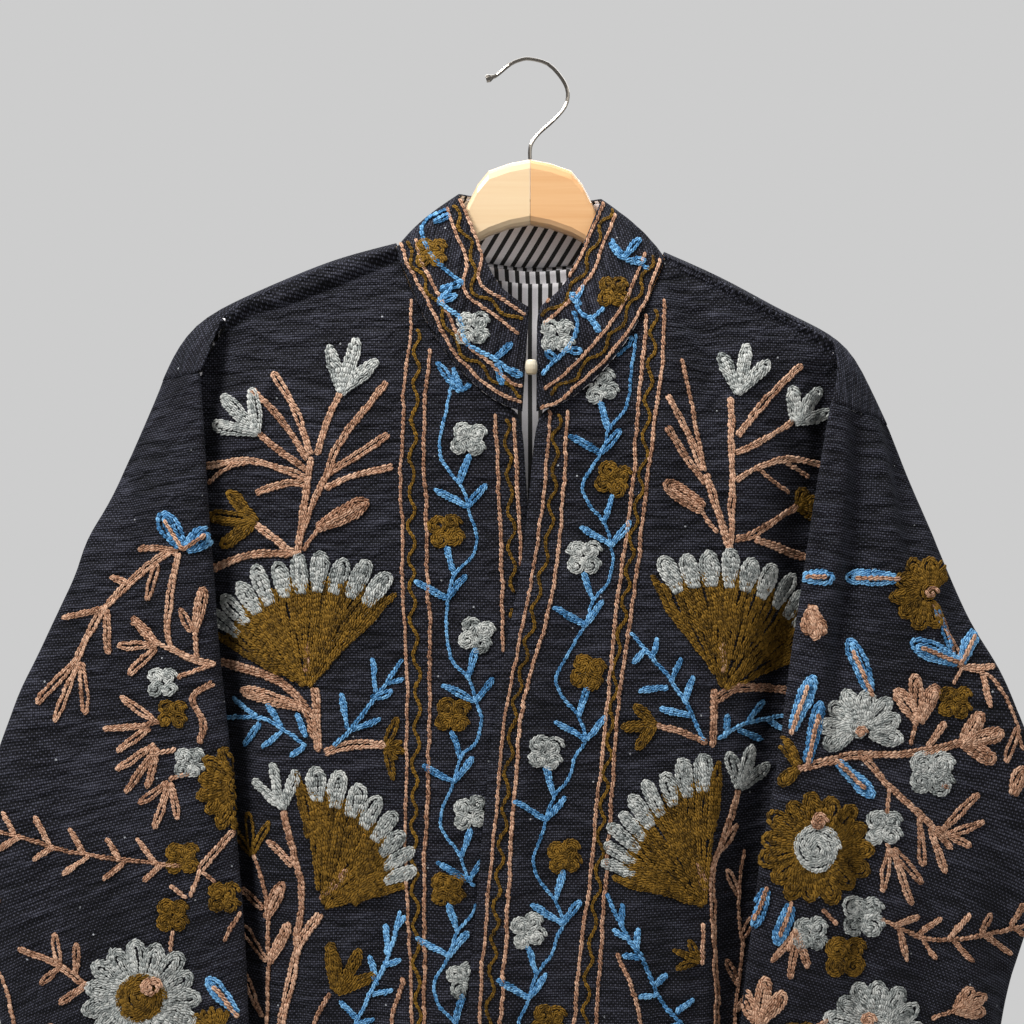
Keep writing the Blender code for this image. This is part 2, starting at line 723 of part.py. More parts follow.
def make_hook(finish) -> None:
    route = [Vector((row.x, 0, row.z)) for row in HOOK]
    swells = [row.swell for row in HOOK]
    points = []
    for i in range(len(route) - 1):
        before, after = route[max(i - 1, 0)], route[min(i + 2, len(route) - 1)]
        for step in range(HOOK_STEPS):
            t = step / HOOK_STEPS
            pull_in, pull_out = (route[i + 1] - before) / 2, (after - route[i]) / 2
            point = (2 * t**3 - 3 * t**2 + 1) * route[i] + (t**3 - 2 * t**2 + t) * pull_in
            point += (3 * t**2 - 2 * t**3) * route[i + 1] + (t**3 - t**2) * pull_out
            points.append((point, mix(swells[i], swells[i + 1], t)))
    points.append((route[-1], swells[-1]))
    curve = bpy.data.curves.new("hanger_hook", "CURVE")
    curve.dimensions = "3D"
    curve.bevel_depth = WIRE_HALF * MM
    curve.bevel_resolution = 2
    curve.use_fill_caps = True
    spline = curve.splines.new("POLY")
    spline.points.add(len(points) - 1)
    for target, (point, swell) in zip(spline.points, points):
        target.co = (*(point * MM), 1)
        target.radius = swell
    add_object("hanger_hook", curve, finish)


def arm_stations(side: int) -> list[ArmStation]:
    stations = list(ARM_BLOCK)
    for step in range(ARM_STEPS + 1):
        share = step / ARM_STEPS
        x = mix(ARM_START, ARM_END, share)
        drop = ARM_UNDER_RIDGE + ARM_NECK_DROP * (1 - smooth((x - ARM_NECK_X) / ARM_NECK_RUN))
        top = ridge_z(side * x) - drop
        tall = mix(ARM_TALL_START, ARM_TALL_END, share)
        tip = max((share - ARM_TIP_SHARE) / ARM_TIP_RUN, 0)
        rounding = math.sqrt(max(1 - tip**2, ARM_TIP_LEAST))
        stations.append(ArmStation(x, top, top - tall * rounding, ARM_HALF * rounding))
    return stations


def make_arm(side: int, name: str, finish) -> None:
    """Half of the hanger: sections across the arm, bridged from the centre joint to the tip."""
    bm = bmesh.new()
    loops = []
    for station in arm_stations(side):
        scale = station.half / ARM_HALF
        right = [(y * scale, station.top - drop * scale) for y, drop in ARM_TOP_ROUND]
        right += [(y * scale, station.bottom + rise * scale) for y, rise in ARM_FOOT_ROUND]
        ring = right + [(-y, z) for y, z in reversed(right) if y > 0]
        verts = [bm.verts.new(Vector((side * station.x, y, z)) * MM) for y, z in ring]
        loops.append([bm.edges.new((a, b)) for a, b in zip(verts, verts[1:] + verts[:1])])
    for first, second in zip(loops, loops[1:]):
        bmesh.ops.bridge_loops(bm, edges=first + second)
    bmesh.ops.holes_fill(bm, edges=loops[0], sides=0)
    bmesh.ops.holes_fill(bm, edges=loops[-1], sides=0)
    bmesh.ops.recalc_face_normals(bm, faces=bm.faces)
    mesh = bpy.data.meshes.new(name)
    bm.to_mesh(mesh)
    bm.free()
    mesh.shade_smooth()
    mesh.set_sharp_from_angle(angle=math.radians(40))
    add_object(name, mesh, finish)


def make_bead(finish) -> None:
    """A barrel bead: a rounded profile turned about its own upright axis."""
    bm = bmesh.new()
    profile = BEAD_PROFILE + tuple((r, -h) for r, h in reversed(BEAD_PROFILE))
    verts = [bm.verts.new(Vector((r * BEAD_HALF, 0, h * BEAD_TALL)) * MM) for r, h in profile]
    edges = [bm.edges.new(pair) for pair in zip(verts, verts[1:])]
    turned = verts + edges
    bmesh.ops.spin(bm, geom=turned, axis=(0, 0, 1), angle=math.tau, steps=BEAD_SIDES, use_merge=True)
    bmesh.ops.remove_doubles(bm, verts=bm.verts, dist=0.01 * MM)
    bmesh.ops.recalc_face_normals(bm, faces=bm.faces)
    mesh = bpy.data.meshes.new("bead_button")
    bm.to_mesh(mesh)
    bm.free()
    mesh.shade_smooth()
    obj = add_object("bead_button", mesh, finish)
    front = min(collar_point(side, 0, BEAD_UP_COLLAR).y for side in (LEFT, RIGHT))
    obj.location = Vector((BEAD_X, front - BEAD_HALF - BEAD_GAP, BEAD_Z)) * MM


def main() -> None:
    for obj in list(bpy.data.objects):
        bpy.data.objects.remove(obj)
    bpy.context.scene.collection.children.link(bpy.data.collections.new("Suzani jacket"))
    jacket = material("Charcoal slub cotton", 0.024, 0.026, 0.033, 0.9)
    lining = material("Striped lining", 0.62, 0.60, 0.62, 0.75)
    beech = material("Lacquered beech", 0.83, 0.60, 0.36, 0.4)
    steel = material("Polished nickel steel", 0.75, 0.74, 0.72, 0.2, 1.0)
    cream = material("Cream bead", 0.82, 0.76, 0.62, 0.3)
    make_fronts(jacket)
    make_back(jacket)
    make_sleeves(jacket)
    make_collar(jacket, lining)
    make_back_lining(lining)
    make_arm(LEFT, "hanger_arm_left", beech)
    make_arm(RIGHT, "hanger_arm_right", beech)
    make_hook(steel)
    make_bead(cream)


main()
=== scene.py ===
"""Looks of a suzani jacket that hangs on a wooden hanger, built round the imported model.

Each cloth panel is a thin shell on its solid's outer face, with pressed creases, a slub weave that follows
the cloth, and chain stitch laid on it link by link. The fronts beside the sleeves and the back lining's
middle are moved well away from their solids, by the deep rows of their crease tables. Lengths are in
millimetres until a mesh is made.
A place on the jacket is given as (across, up) on the hanger's plane, seen from the camera for what faces
it, and square on for the rear. Right and left are the wearer's, so the right front is at the picture's left.
"""

import json
import logging
import math
import random
from dataclasses import dataclass, field
from enum import Enum
from typing import NamedTuple

import bmesh
import bpy
import numpy as np
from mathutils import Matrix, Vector
from mathutils.bvhtree import BVHTree

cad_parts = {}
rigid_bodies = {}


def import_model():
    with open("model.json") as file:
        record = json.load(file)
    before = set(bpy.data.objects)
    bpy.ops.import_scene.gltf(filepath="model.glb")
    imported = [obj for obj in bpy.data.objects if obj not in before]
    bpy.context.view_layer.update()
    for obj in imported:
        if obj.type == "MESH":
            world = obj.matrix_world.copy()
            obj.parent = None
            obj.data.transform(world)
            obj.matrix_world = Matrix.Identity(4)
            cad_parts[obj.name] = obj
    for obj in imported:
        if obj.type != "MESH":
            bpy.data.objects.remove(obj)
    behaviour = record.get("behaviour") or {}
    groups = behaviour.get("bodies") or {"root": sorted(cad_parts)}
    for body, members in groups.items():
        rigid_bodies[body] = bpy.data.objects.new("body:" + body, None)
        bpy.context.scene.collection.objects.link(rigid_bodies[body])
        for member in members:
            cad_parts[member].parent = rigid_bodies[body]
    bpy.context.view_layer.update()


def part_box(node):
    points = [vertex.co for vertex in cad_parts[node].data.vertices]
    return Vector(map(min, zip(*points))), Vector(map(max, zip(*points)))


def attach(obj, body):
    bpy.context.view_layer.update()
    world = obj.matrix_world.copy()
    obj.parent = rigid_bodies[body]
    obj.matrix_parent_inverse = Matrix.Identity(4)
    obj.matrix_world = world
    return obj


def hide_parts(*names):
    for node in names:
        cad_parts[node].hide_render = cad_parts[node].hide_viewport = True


LOG = logging.getLogger("suzani_jacket")

MM = 0.001
BODY = "root"
# The camera's place, and how wide the picture is at the hanger's plane.
EYE = Vector((-14.4, -1300.0, -361.0))
PICTURE_WIDTH = 819.2
# A stitch's usual length and width, how far the hand strays, how much painted shade darkens a stitch's
# hollow, and its slant as a share of its width.
PITCH = 4.1
STITCH = 4.4
HAND = 0.75
HOLLOW_SHADE = 0.5
TWIST = 0.11
Place = tuple[float, float]


class Yarn(Enum):
    """The embroidery yarns, as (name, hex of the painted shade between the strands, shaded hex, lit hex)."""

    SALMON = ("salmon", "#3A2418", "#A87A5E", "#E8BFA1")
    OLIVE = ("olive", "#191005", "#5C4416", "#957029")
    BLUE = ("blue", "#0F2C45", "#4481B4", "#93CBF2")
    GREY = ("grey", "#363B3A", "#989D9A", "#DCDCD6")


class Side(Enum):
    """Which way a drawing is laid on the cloth."""

    FRONT = -1
    REAR = 1


def linear(colour: str) -> tuple[float, float, float, float]:
    """Turns an sRGB colour into linear light.

    Args:
        colour: A hex value such as "#CDCDCD".

    Returns:
        Red, green, blue and an alpha of 1.
    """
    parts = [int(colour[i : i + 2], 16) / 255 for i in (1, 3, 5)]
    return (*[c / 12.92 if c <= 0.04045 else ((c + 0.055) / 1.055) ** 2.4 for c in parts], 1.0)


def add_node(
    tree: bpy.types.NodeTree, kind: str, settings: dict | None = None, links: dict | None = None
) -> bpy.types.Node:
    """Adds a shader node.

    Args:
        tree: The node tree.
        kind: The node's type name.
        settings: Attribute or input name (or input number) to value; "stops" fills a colour ramp.
        links: Input name or number to the socket that feeds it.

    Returns:
        The new node.
    """
    node = tree.nodes.new(kind)
    for key, value in (settings or {}).items():
        if key == "stops":
            while len(node.color_ramp.elements) < len(value):
                node.color_ramp.elements.new(0.5)
            for element, (place, colour) in zip(node.color_ramp.elements, value):
                element.position, element.color = place, linear(colour)
        elif isinstance(key, str) and hasattr(node, key):
            setattr(node, key, value)
        else:
            node.inputs[key].default_value = value
    for key, socket in (links or {}).items():
        tree.links.new(socket, node.inputs[key])
    return node


def reckon(
    tree: bpy.types.NodeTree, operation: str, *feeds: bpy.types.NodeSocket | float | tuple,
    kind: str = "ShaderNodeMath",
) -> bpy.types.NodeSocket:
    """Adds a maths node.

    Args:
        tree: The node tree.
        operation: What it works out.
        feeds: For each input a socket or a plain value.
        kind: The node's type name, for vector maths.

    Returns:
        The socket that holds its result.
    """
    node = add_node(tree, kind, {"operation": operation})
    for number, feed in enumerate(feeds):
        if isinstance(feed, bpy.types.NodeSocket):
            tree.links.new(feed, node.inputs[number])
        else:
            node.inputs[number].default_value = feed
    return node.outputs[0]


def noise(tree: bpy.types.NodeTree, at: bpy.types.NodeSocket, **sockets: float) -> bpy.types.Node:
    """Returns a noise texture's node, fed with a place."""
    return add_node(tree, "ShaderNodeTexNoise", sockets, {"Vector": at})


def ramp(tree: bpy.types.NodeTree, feed: bpy.types.NodeSocket, stops: tuple) -> bpy.types.Node:
    """Returns the node that turns a value into a colour by its stops."""
    return add_node(tree, "ShaderNodeValToRGB", {"stops": stops}, {0: feed})


def start_material(
    name: str, **sockets: float
) -> tuple[bpy.types.Material, bpy.types.NodeTree, bpy.types.Node]:
    """Makes a material with a Principled shader.

    Args:
        name: What the real material is and how it was made.
        sockets: Values for the shader's sockets, with _ for a space.

    Returns:
        The material, its tree and its Principled node.
    """
    made = bpy.data.materials.new(name)
    made.use_nodes = True
    shader = made.node_tree.nodes["Principled BSDF"]
    for socket, value in sockets.items():
        shader.inputs[socket.replace("_", " ")].default_value = value
    return made, made.node_tree, shader


@dataclass(frozen=True)
class SlubCotton:
    """Hand-woven slub cotton: a coarse plain weave whose thick weft shows as short level dashes."""

    warp: float = 1.65
    weft: float = 2.0
    slub_long: float = 34.0
    wobble: float = 1.6
    bump: float = 1.0
    crumple: float = 10.0

    VECTORS = "ShaderNodeVectorMath"
    # How far the warp dims a weft thread, what each unevenness adds to the lightness (the crumple's share
    # being painted shade in the crinkles' hollows), and how large a speck of lint is in its cell.
    DASHES = (0.56, 0.3)
    SLUB, DYE, GRIT, RUMPLE = 0.9, 0.6, 0.8, 0.55
    LINT = 0.011

    def make(self) -> bpy.types.Material:
        """Makes the material, which reads the cloth's own UV map in metres.

        Returns:
            The material.
        """
        # Hand-spun yarn of uneven thickness gives the eye short level dashes with dark pin-holes between
        # them, darker and lighter bands where the dye took differently, and a few stray flecks of lint.
        # The real threads lie about 1 mm apart, too fine to show, so the weave is drawn twice as coarse.
        made, tree, shader = start_material(
            "Slub cotton, hand-woven and dyed charcoal",
            Roughness=0.9, Sheen_Weight=0.07, Sheen_Roughness=0.4, Specular_IOR_Level=0.2,
        )
        shader.inputs["Sheen Tint"].default_value = linear("#8E9AB4")
        uv = add_node(tree, "ShaderNodeUVMap").outputs[0]
        drift = noise(tree, uv, Scale=90.0, Detail=5.0)
        centred = reckon(tree, "SUBTRACT", drift.outputs["Color"], (0.5, 0.5, 0.5), kind=self.VECTORS)
        strayed = (self.wobble * MM, self.wobble * MM, 0)
        pulled = reckon(tree, "MULTIPLY_ADD", centred, strayed, uv, kind=self.VECTORS)
        axes = add_node(tree, "ShaderNodeSeparateXYZ", links={0: pulled})
        waves = [
            reckon(tree, "SINE", reckon(tree, "MULTIPLY", axes.outputs[axis], math.pi / (size * MM)))
            for axis, size in ((0, self.warp), (1, self.weft))
        ]
        warp, weft = (reckon(tree, "ABSOLUTE", wave) for wave in waves)
        crossing = reckon(tree, "MULTIPLY", reckon(tree, "MULTIPLY_ADD", warp, *self.DASHES), weft)
        level = reckon(tree, "MULTIPLY_ADD", reckon(tree, "MULTIPLY", *waves), 0.2, crossing)
        stretch = (1000 / self.slub_long, 480 / self.weft, 1)
        stretched = reckon(tree, "MULTIPLY", uv, stretch, kind=self.VECTORS)
        slub = noise(tree, stretched, Scale=1.0, Detail=2.0)
        dye = noise(tree, uv, Scale=9.0, Detail=3.0)
        crumple = reckon(tree, "MULTIPLY", uv, (38.0, 120.0, 1), kind=self.VECTORS)
        rumpled = noise(tree, crumple, Scale=1.0, Detail=2.0, Distortion=0.6)
        grit = noise(tree, uv, Scale=520.0, Detail=1.0)
        slubbed = reckon(tree, "MULTIPLY_ADD", slub.outputs[0], self.SLUB, level)
        dyed = reckon(tree, "MULTIPLY_ADD", dye.outputs[0], self.DYE, slubbed)
        gritted = reckon(tree, "MULTIPLY_ADD", grit.outputs[0], self.GRIT, dyed)
        # Painted shade and light: the crumple noise that bends the cloth also darkens its crinkles' hollows
        # and lightens their crests.
        tone_and_crinkle_shade = reckon(tree, "MULTIPLY_ADD", rumpled.outputs[0], self.RUMPLE, gritted)
        lightness = reckon(tree, "MULTIPLY", tone_and_crinkle_shade, 0.38)
        stops = ((0.4, "#020202"), (0.6, "#0C0C0F"), (0.74, "#1D1C23"), (0.88, "#4E4F5B"))
        colour = ramp(tree, lightness, stops)
        cells = add_node(
            tree, "ShaderNodeTexVoronoi", {"Scale": 15.0, "voronoi_dimensions": "2D"}, {"Vector": uv}
        )
        lint = reckon(tree, "LESS_THAN", cells.outputs["Distance"], self.LINT)
        specked = add_node(
            tree, "ShaderNodeMix", {"data_type": "RGBA", 7: linear("#A9ABAE")},
            {0: lint, 6: colour.outputs[0]},
        )
        waved = add_node(
            tree, "ShaderNodeBump", {"Strength": 1.0, "Distance": self.crumple * MM},
            {"Height": rumpled.outputs[0]},
        )
        bump = add_node(
            tree, "ShaderNodeBump", {"Strength": self.bump, "Distance": 0.5 * MM},
            {"Height": slubbed, "Normal": waved.outputs[0]},
        )
        tree.links.new(specked.outputs[2], shader.inputs["Base Color"])
        tree.links.new(bump.outputs[0], shader.inputs["Normal"])
        return made


@dataclass(frozen=True)
class StripedCotton:
    """Printed cotton lining: smooth white cloth with even black stripes and a little show of weave."""

    name: str
    slant: float = 0.0
    pitch: float = 8.2
    black: float = 3.4
    shift: float = 0.0

    def make(self) -> bpy.types.Material:
        """Makes the material, striped across the cloth's own UV map.

        Returns:
            The material.
        """
        # A smooth machine-woven cotton, printed: crisp black stripes on a clean white, with hardly any sheen.
        made, tree, shader = start_material(self.name, Roughness=0.75, Sheen_Weight=0.1)
        uv = add_node(tree, "ShaderNodeUVMap")
        turned = add_node(
            tree, "ShaderNodeMapping",
            {"Rotation": (0, 0, math.radians(self.slant)), "Location": (self.shift * MM, 0, 0)},
            {"Vector": uv.outputs[0]},
        )
        axes = add_node(tree, "ShaderNodeSeparateXYZ", links={0: turned.outputs[0]})
        share = reckon(tree, "FRACT", reckon(tree, "MULTIPLY", axes.outputs[0], 1 / (self.pitch * MM)))
        inked = reckon(tree, "LESS_THAN", share, self.black / self.pitch)
        thread = noise(tree, uv.outputs[0], Scale=1600.0)
        stops = ((0.3, "#DEDADC"), (0.7, "#F3F0F1"))
        cream = ramp(tree, thread.outputs[0], stops)
        colour = add_node(
            tree, "ShaderNodeMix", {"data_type": "RGBA", 7: linear("#14110F")},
            {0: inked, 6: cream.outputs[0]},
        )
        bump = add_node(
            tree, "ShaderNodeBump", {"Strength": 0.2, "Distance": 0.2 * MM}, {"Height": thread.outputs[0]}
        )
        tree.links.new(colour.outputs[2], shader.inputs["Base Color"])
        tree.links.new(bump.outputs[0], shader.inputs["Normal"])
        return made


@dataclass(frozen=True)
class SoftYarn:
    """Loosely spun thick yarn: matt and slightly hairy, uneven in dye from stitch to stitch."""

    yarn: Yarn
    fibre: float = 0.7
    twist: float = 2.2

    # How much the twist and the fibres change the yarn's tone.
    UNEVEN = 1.1

    def make(self) -> bpy.types.Material:
        """Makes the material, which reads each stitch's own tone and its painted shade.

        Returns:
            The material.
        """
        # Loose two-ply yarn gives the eye a dry, slightly hairy surface, and no two stitches are quite the
        # same tone. Painted shade darkens the hollow of each loop, leaving its crown lighter. Its fibres are
        # drawn coarse enough to show.
        name, deep, shade, lit = self.yarn.value
        made, tree, shader = start_material(
            f"Thick {name} cotton yarn, chain-stitched",
            Roughness=0.85, Sheen_Weight=0.3, Specular_IOR_Level=0.2,
        )
        shader.inputs["Sheen Tint"].default_value = linear(lit)
        place = add_node(tree, "ShaderNodeTexCoord").outputs["Object"]
        fibre = noise(tree, place, Scale=1000 / self.fibre, Detail=2.0)
        tone = add_node(tree, "ShaderNodeAttribute", {"attribute_name": "tone"})
        twist = noise(tree, place, Scale=1000 / self.twist, Detail=1.0)
        spun = reckon(tree, "MULTIPLY_ADD", twist.outputs[0], self.UNEVEN, tone.outputs["Fac"])
        mixed = reckon(tree, "MULTIPLY_ADD", fibre.outputs[0], self.UNEVEN, spun)
        lightness = reckon(tree, "SUBTRACT", mixed, 0.82)
        # The darkest stop is the painted shade between the strands.
        stops = ((0.08, deep), (0.45, shade), (0.9, lit))
        colour = ramp(tree, lightness, stops)
        bump = add_node(
            tree, "ShaderNodeBump", {"Strength": 0.5, "Distance": 0.3 * MM}, {"Height": fibre.outputs[0]}
        )
        tree.links.new(colour.outputs[0], shader.inputs["Base Color"])
        tree.links.new(bump.outputs[0], shader.inputs["Normal"])
        return made


@dataclass(frozen=True)
class LacqueredBeech:
    """Lacquered beech: pale, with long faint grain and short darker flecks under a soft gloss."""

    name: str
    pale: str
    deep: str
    grain: float = 2.4

    def make(self) -> bpy.types.Material:
        """Makes the material, its grain running along the arm.

        Returns:
            The material.
        """
        # Clear lacquer over planed wood: a pale honey colour, faint long grain and a soft broad highlight.
        made, tree, shader = start_material(self.name, Roughness=0.36, Coat_Weight=0.25, Coat_Roughness=0.2)
        place = add_node(tree, "ShaderNodeTexCoord")
        along = add_node(
            tree, "ShaderNodeMapping", {"Scale": (14, 1000 / self.grain, 1000 / self.grain)},
            {"Vector": place.outputs["Object"]},
        )
        place = along.outputs[0]
        grain = noise(tree, place, Scale=0.35, Detail=4.0)
        fleck = noise(tree, place, Scale=1.6, Detail=1.0)
        mixed = reckon(tree, "MULTIPLY_ADD", fleck.outputs[0], 0.25, grain.outputs[0])
        stops = ((0.3, self.deep), (0.7, self.pale))
        colour = ramp(tree, mixed, stops)
        bump = add_node(
            tree, "ShaderNodeBump", {"Strength": 0.06, "Distance": 0.2 * MM}, {"Height": grain.outputs[0]}
        )
        tree.links.new(colour.outputs[0], shader.inputs["Base Color"])
        tree.links.new(bump.outputs[0], shader.inputs["Normal"])
        return made


@dataclass(frozen=True)
class NickelSteel:
    """Nickel-plated steel wire: bright, with faint drawing marks."""

    def make(self) -> bpy.types.Material:
        """Makes the material.

        Returns:
            The material.
        """
        # Bright plating on drawn wire: a hard thin highlight along the bend, a little blurred by the marks
        # of drawing.
        made, tree, shader = start_material("Nickel-plated steel, drawn and bent", Metallic=1.0)
        shader.inputs["Base Color"].default_value = linear("#A79F94")
        place = add_node(tree, "ShaderNodeTexCoord")
        marks = noise(tree, place.outputs["Object"], Scale=60.0)
        rough = add_node(
            tree, "ShaderNodeMapRange", {"To Min": 0.12, "To Max": 0.2}, {"Value": marks.outputs[0]}
        )
        tree.links.new(rough.outputs[0], shader.inputs["Roughness"])
        return made


@dataclass(frozen=True)
class CreamBead:
    """Glazed cream bead with a soft gloss, painted light at the top and painted shade, warmer and darker,
    below.
    """

    low: float
    high: float

    def make(self) -> bpy.types.Material:
        """Makes the material, shaded from the bead's foot to its top in metres.

        Returns:
            The material.
        """
        # Polished cream plastic, with painted light on its top and painted shade, darker and warmer, towards
        # its foot.
        made, tree, shader = start_material(
            "Cream bead, moulded and polished", Roughness=0.3, Coat_Weight=0.4
        )
        place = add_node(tree, "ShaderNodeTexCoord")
        axes = add_node(tree, "ShaderNodeSeparateXYZ", links={0: place.outputs["Object"]})
        up = add_node(
            tree, "ShaderNodeMapRange", {"From Min": self.low, "From Max": self.high},
            {"Value": axes.outputs[2]},
        )
        colour = ramp(tree, up.outputs[0], ((0.1, "#B7A587"), (0.8, "#F5E9CE")))
        tree.links.new(colour.outputs[0], shader.inputs["Base Color"])
        return made


class Crease(NamedTuple):
    """A soft crease pressed in the cloth: a ridge where rise is above 0, a trough where it is below."""

    route: tuple[Place, ...]
    half: float
    rise: float
    side: Side = Side.FRONT


@dataclass
class Panel:
    """A cloth panel: a thin shell on its solid's outer face, which its creases move in and out."""

    # Where the back's neck edge is and how far it is tucked, how near the seam the cloth is made finer,
    # where the seam under the arm is looked for, and the roll of cloth over the shoulder seam.
    NECK_WIDE, NECK_LOW, NECK_TUCK = 95, -200, (0, -1.2, 4.5)
    REFINED = (105, 12)
    UNDERARM_Y, UNDERARM_NEAR = -3.5, (6, 1.2, 2)
    ROLL_RAISE, ROLL_LIFT, ROLL_TROUGH = 5.0, 4.0, 2.4
    ROLL_WIDE, ROLL_TOP, TROUGH_WIDE, ROLL_FADE, ROLL_STEP = 5, 9, 3.2, 26, 5

    node: str
    flat: tuple[float, float]
    held: str = "hung"
    wall: float = 1.8
    tilt: float = 0.0
    levels: int = 2
    rests_on: tuple[str, ...] = ()
    creases: tuple[Crease, ...] = ()
    slot: str = "jacket_cloth"
    inside: Vector | None = field(default_factory=lambda: Vector((0, 0, -400)))
    underarm: tuple[float, float] | None = None
    lipped: bool = False
    rim: float = 50.0
    roll: tuple[Place, ...] = ()

    def outer_face(self) -> bmesh.types.BMesh:
        """Cuts the solid's outer face free at its rim.

        Returns:
            A mesh of that face alone, in quads where the solid has them.
        """
        bm = bmesh.new()
        bm.from_mesh(bpy.data.objects[self.node].data)
        bmesh.ops.remove_doubles(bm, verts=bm.verts, dist=0.02 * MM)
        bmesh.ops.join_triangles(
            bm, faces=bm.faces, angle_face_threshold=math.radians(30), angle_shape_threshold=math.radians(50)
        )
        regions, seen = [], set()
        for first in bm.faces:
            if first in seen:
                continue
            region, waiting = [], [first]
            seen.add(first)
            while waiting:
                face = waiting.pop()
                region.append(face)
                for edge in face.edges:
                    if len(edge.link_faces) != 2 or edge.calc_face_angle(math.pi) > math.radians(self.rim):
                        continue
                    for other in edge.link_faces:
                        if other not in seen:
                            seen.add(other)
                            waiting.append(other)
            regions.append(region)
        regions.sort(key=lambda region: -sum(face.calc_area() for face in region))
        outer = max(regions[:2], key=self.facing_out)
        kept = set(outer)
        if self.lipped:
            kept.update(face for region in regions[2:] if self.is_lip(region) for face in region)
        bmesh.ops.delete(bm, geom=[face for face in bm.faces if face not in kept], context="FACES")
        return bm

    def is_lip(self, region: list) -> bool:
        """Returns whether a narrow strip is the rolled edge that faces front at the shoulder seam."""
        area = sum(face.calc_area() for face in region)
        return sum(face.normal.y * face.calc_area() for face in region) < -0.8 * area

    def facing_out(self, region: list) -> float:
        """Measures how far a region of faces points away from the hollow's middle.

        Args:
            region: The faces.

        Returns:
            The measure, above 0 where they face out.
        """
        centres = [face.calc_center_median() for face in region]
        middle = self.inside * MM if self.inside else sum(centres, Vector()) / len(centres)
        return sum(face.normal.dot(face.calc_center_median() - middle) * face.calc_area() for face in region)

    def mark_underarm(self, bm: bmesh.types.BMesh) -> None:
        """Marks the underarm seam of a sleeve, where its tube is cut to lie flat.

        Args:
            bm: The sleeve's faces.
        """
        if self.underarm is None:
            return
        out_x, armpit_z = self.underarm
        for edge in bm.edges:
            aside, deep, high = self.UNDERARM_NEAR
            edge.seam = all(
                abs(v.co.x / MM - out_x) < aside
                and abs(v.co.y / MM - self.UNDERARM_Y) < deep
                and v.co.z / MM < armpit_z + high
                for v in edge.verts
            )

    def lay_flat(self, obj: bpy.types.Object) -> None:
        """Gives the panel a UV map in real metres, its weft level or turned with the sleeve.

        Args:
            obj: The panel's object, which holds its outer face alone.
        """
        for other in bpy.context.view_layer.objects:
            other.select_set(False)
        obj.select_set(True)
        bpy.context.view_layer.objects.active = obj
        bpy.ops.object.mode_set(mode="EDIT")
        bpy.ops.mesh.select_all(action="SELECT")
        bpy.ops.uv.unwrap(method="ANGLE_BASED", margin=0.0)
        bpy.ops.object.mode_set(mode="OBJECT")
        mesh = obj.data
        uv = np.zeros(len(mesh.loops) * 2)
        mesh.uv_layers.active.data.foreach_get("uv", uv)
        uv = uv.reshape(-1, 2)
        corner = np.zeros(len(mesh.loops), int)
        mesh.loops.foreach_get("vertex_index", corner)
        points = np.zeros(len(mesh.vertices) * 3)
        mesh.vertices.foreach_get("co", points)
        points = points.reshape(-1, 3)[corner]
        flat = uv[:, 0] + 1j * uv[:, 1]
        flat_area = 0.0
        for face in mesh.polygons:
            ring = flat[face.loop_start : face.loop_start + face.loop_total]
            flat_area += abs(np.imag(np.conj(ring) * np.roll(ring, -1)).sum()) / 2
        scale = math.sqrt(sum(face.area for face in mesh.polygons) / flat_area)
        flat = flat - flat.mean()
        best = 0j
        for across in (points[:, 0], -points[:, 0]):
            shown = across + 1j * points[:, 2]
            match = (np.conj(flat) * (shown - shown.mean())).sum()
            best = match if abs(match) > abs(best) else best
        turn = best / abs(best) * np.exp(1j * math.radians(self.tilt))
        flat = flat * scale * turn
        mesh.uv_layers.active.data.foreach_set("uv", np.stack([flat.real, flat.imag], 1).ravel())

    def tuck_neck(self, bm: bmesh.types.BMesh) -> None:
        """Carries the neck's rear edge up inside the collar, so that no light shows at the seam."""
        for vert in bm.verts:
            within = abs(vert.co.x) < self.NECK_WIDE * MM and vert.co.z > self.NECK_LOW * MM
            if vert.is_boundary and vert.co.y > 0 and within:
                vert.co += Vector(self.NECK_TUCK) * MM

    def refine(self, mesh: bpy.types.Mesh) -> None:
        """Divides the cloth under the shoulder, and again along its seam, for the sharp folds there.

        Args:
            mesh: The panel's fine mesh.
        """
        seam = np.array(sorted(self.roll), float)
        bm = bmesh.new()
        bm.from_mesh(mesh)
        for reach in self.REFINED:
            middles = [(face, face.calc_center_median() / MM) for face in bm.faces]
            near = [
                face for face, middle in middles if abs(middle.z - np.interp(middle.x, *seam.T)) < reach
            ]
            edges = list({edge for face in near for edge in face.edges})
            bmesh.ops.subdivide_edges(bm, edges=edges, cuts=1, use_grid_fill=True)
        bm.to_mesh(mesh)
        bm.free()

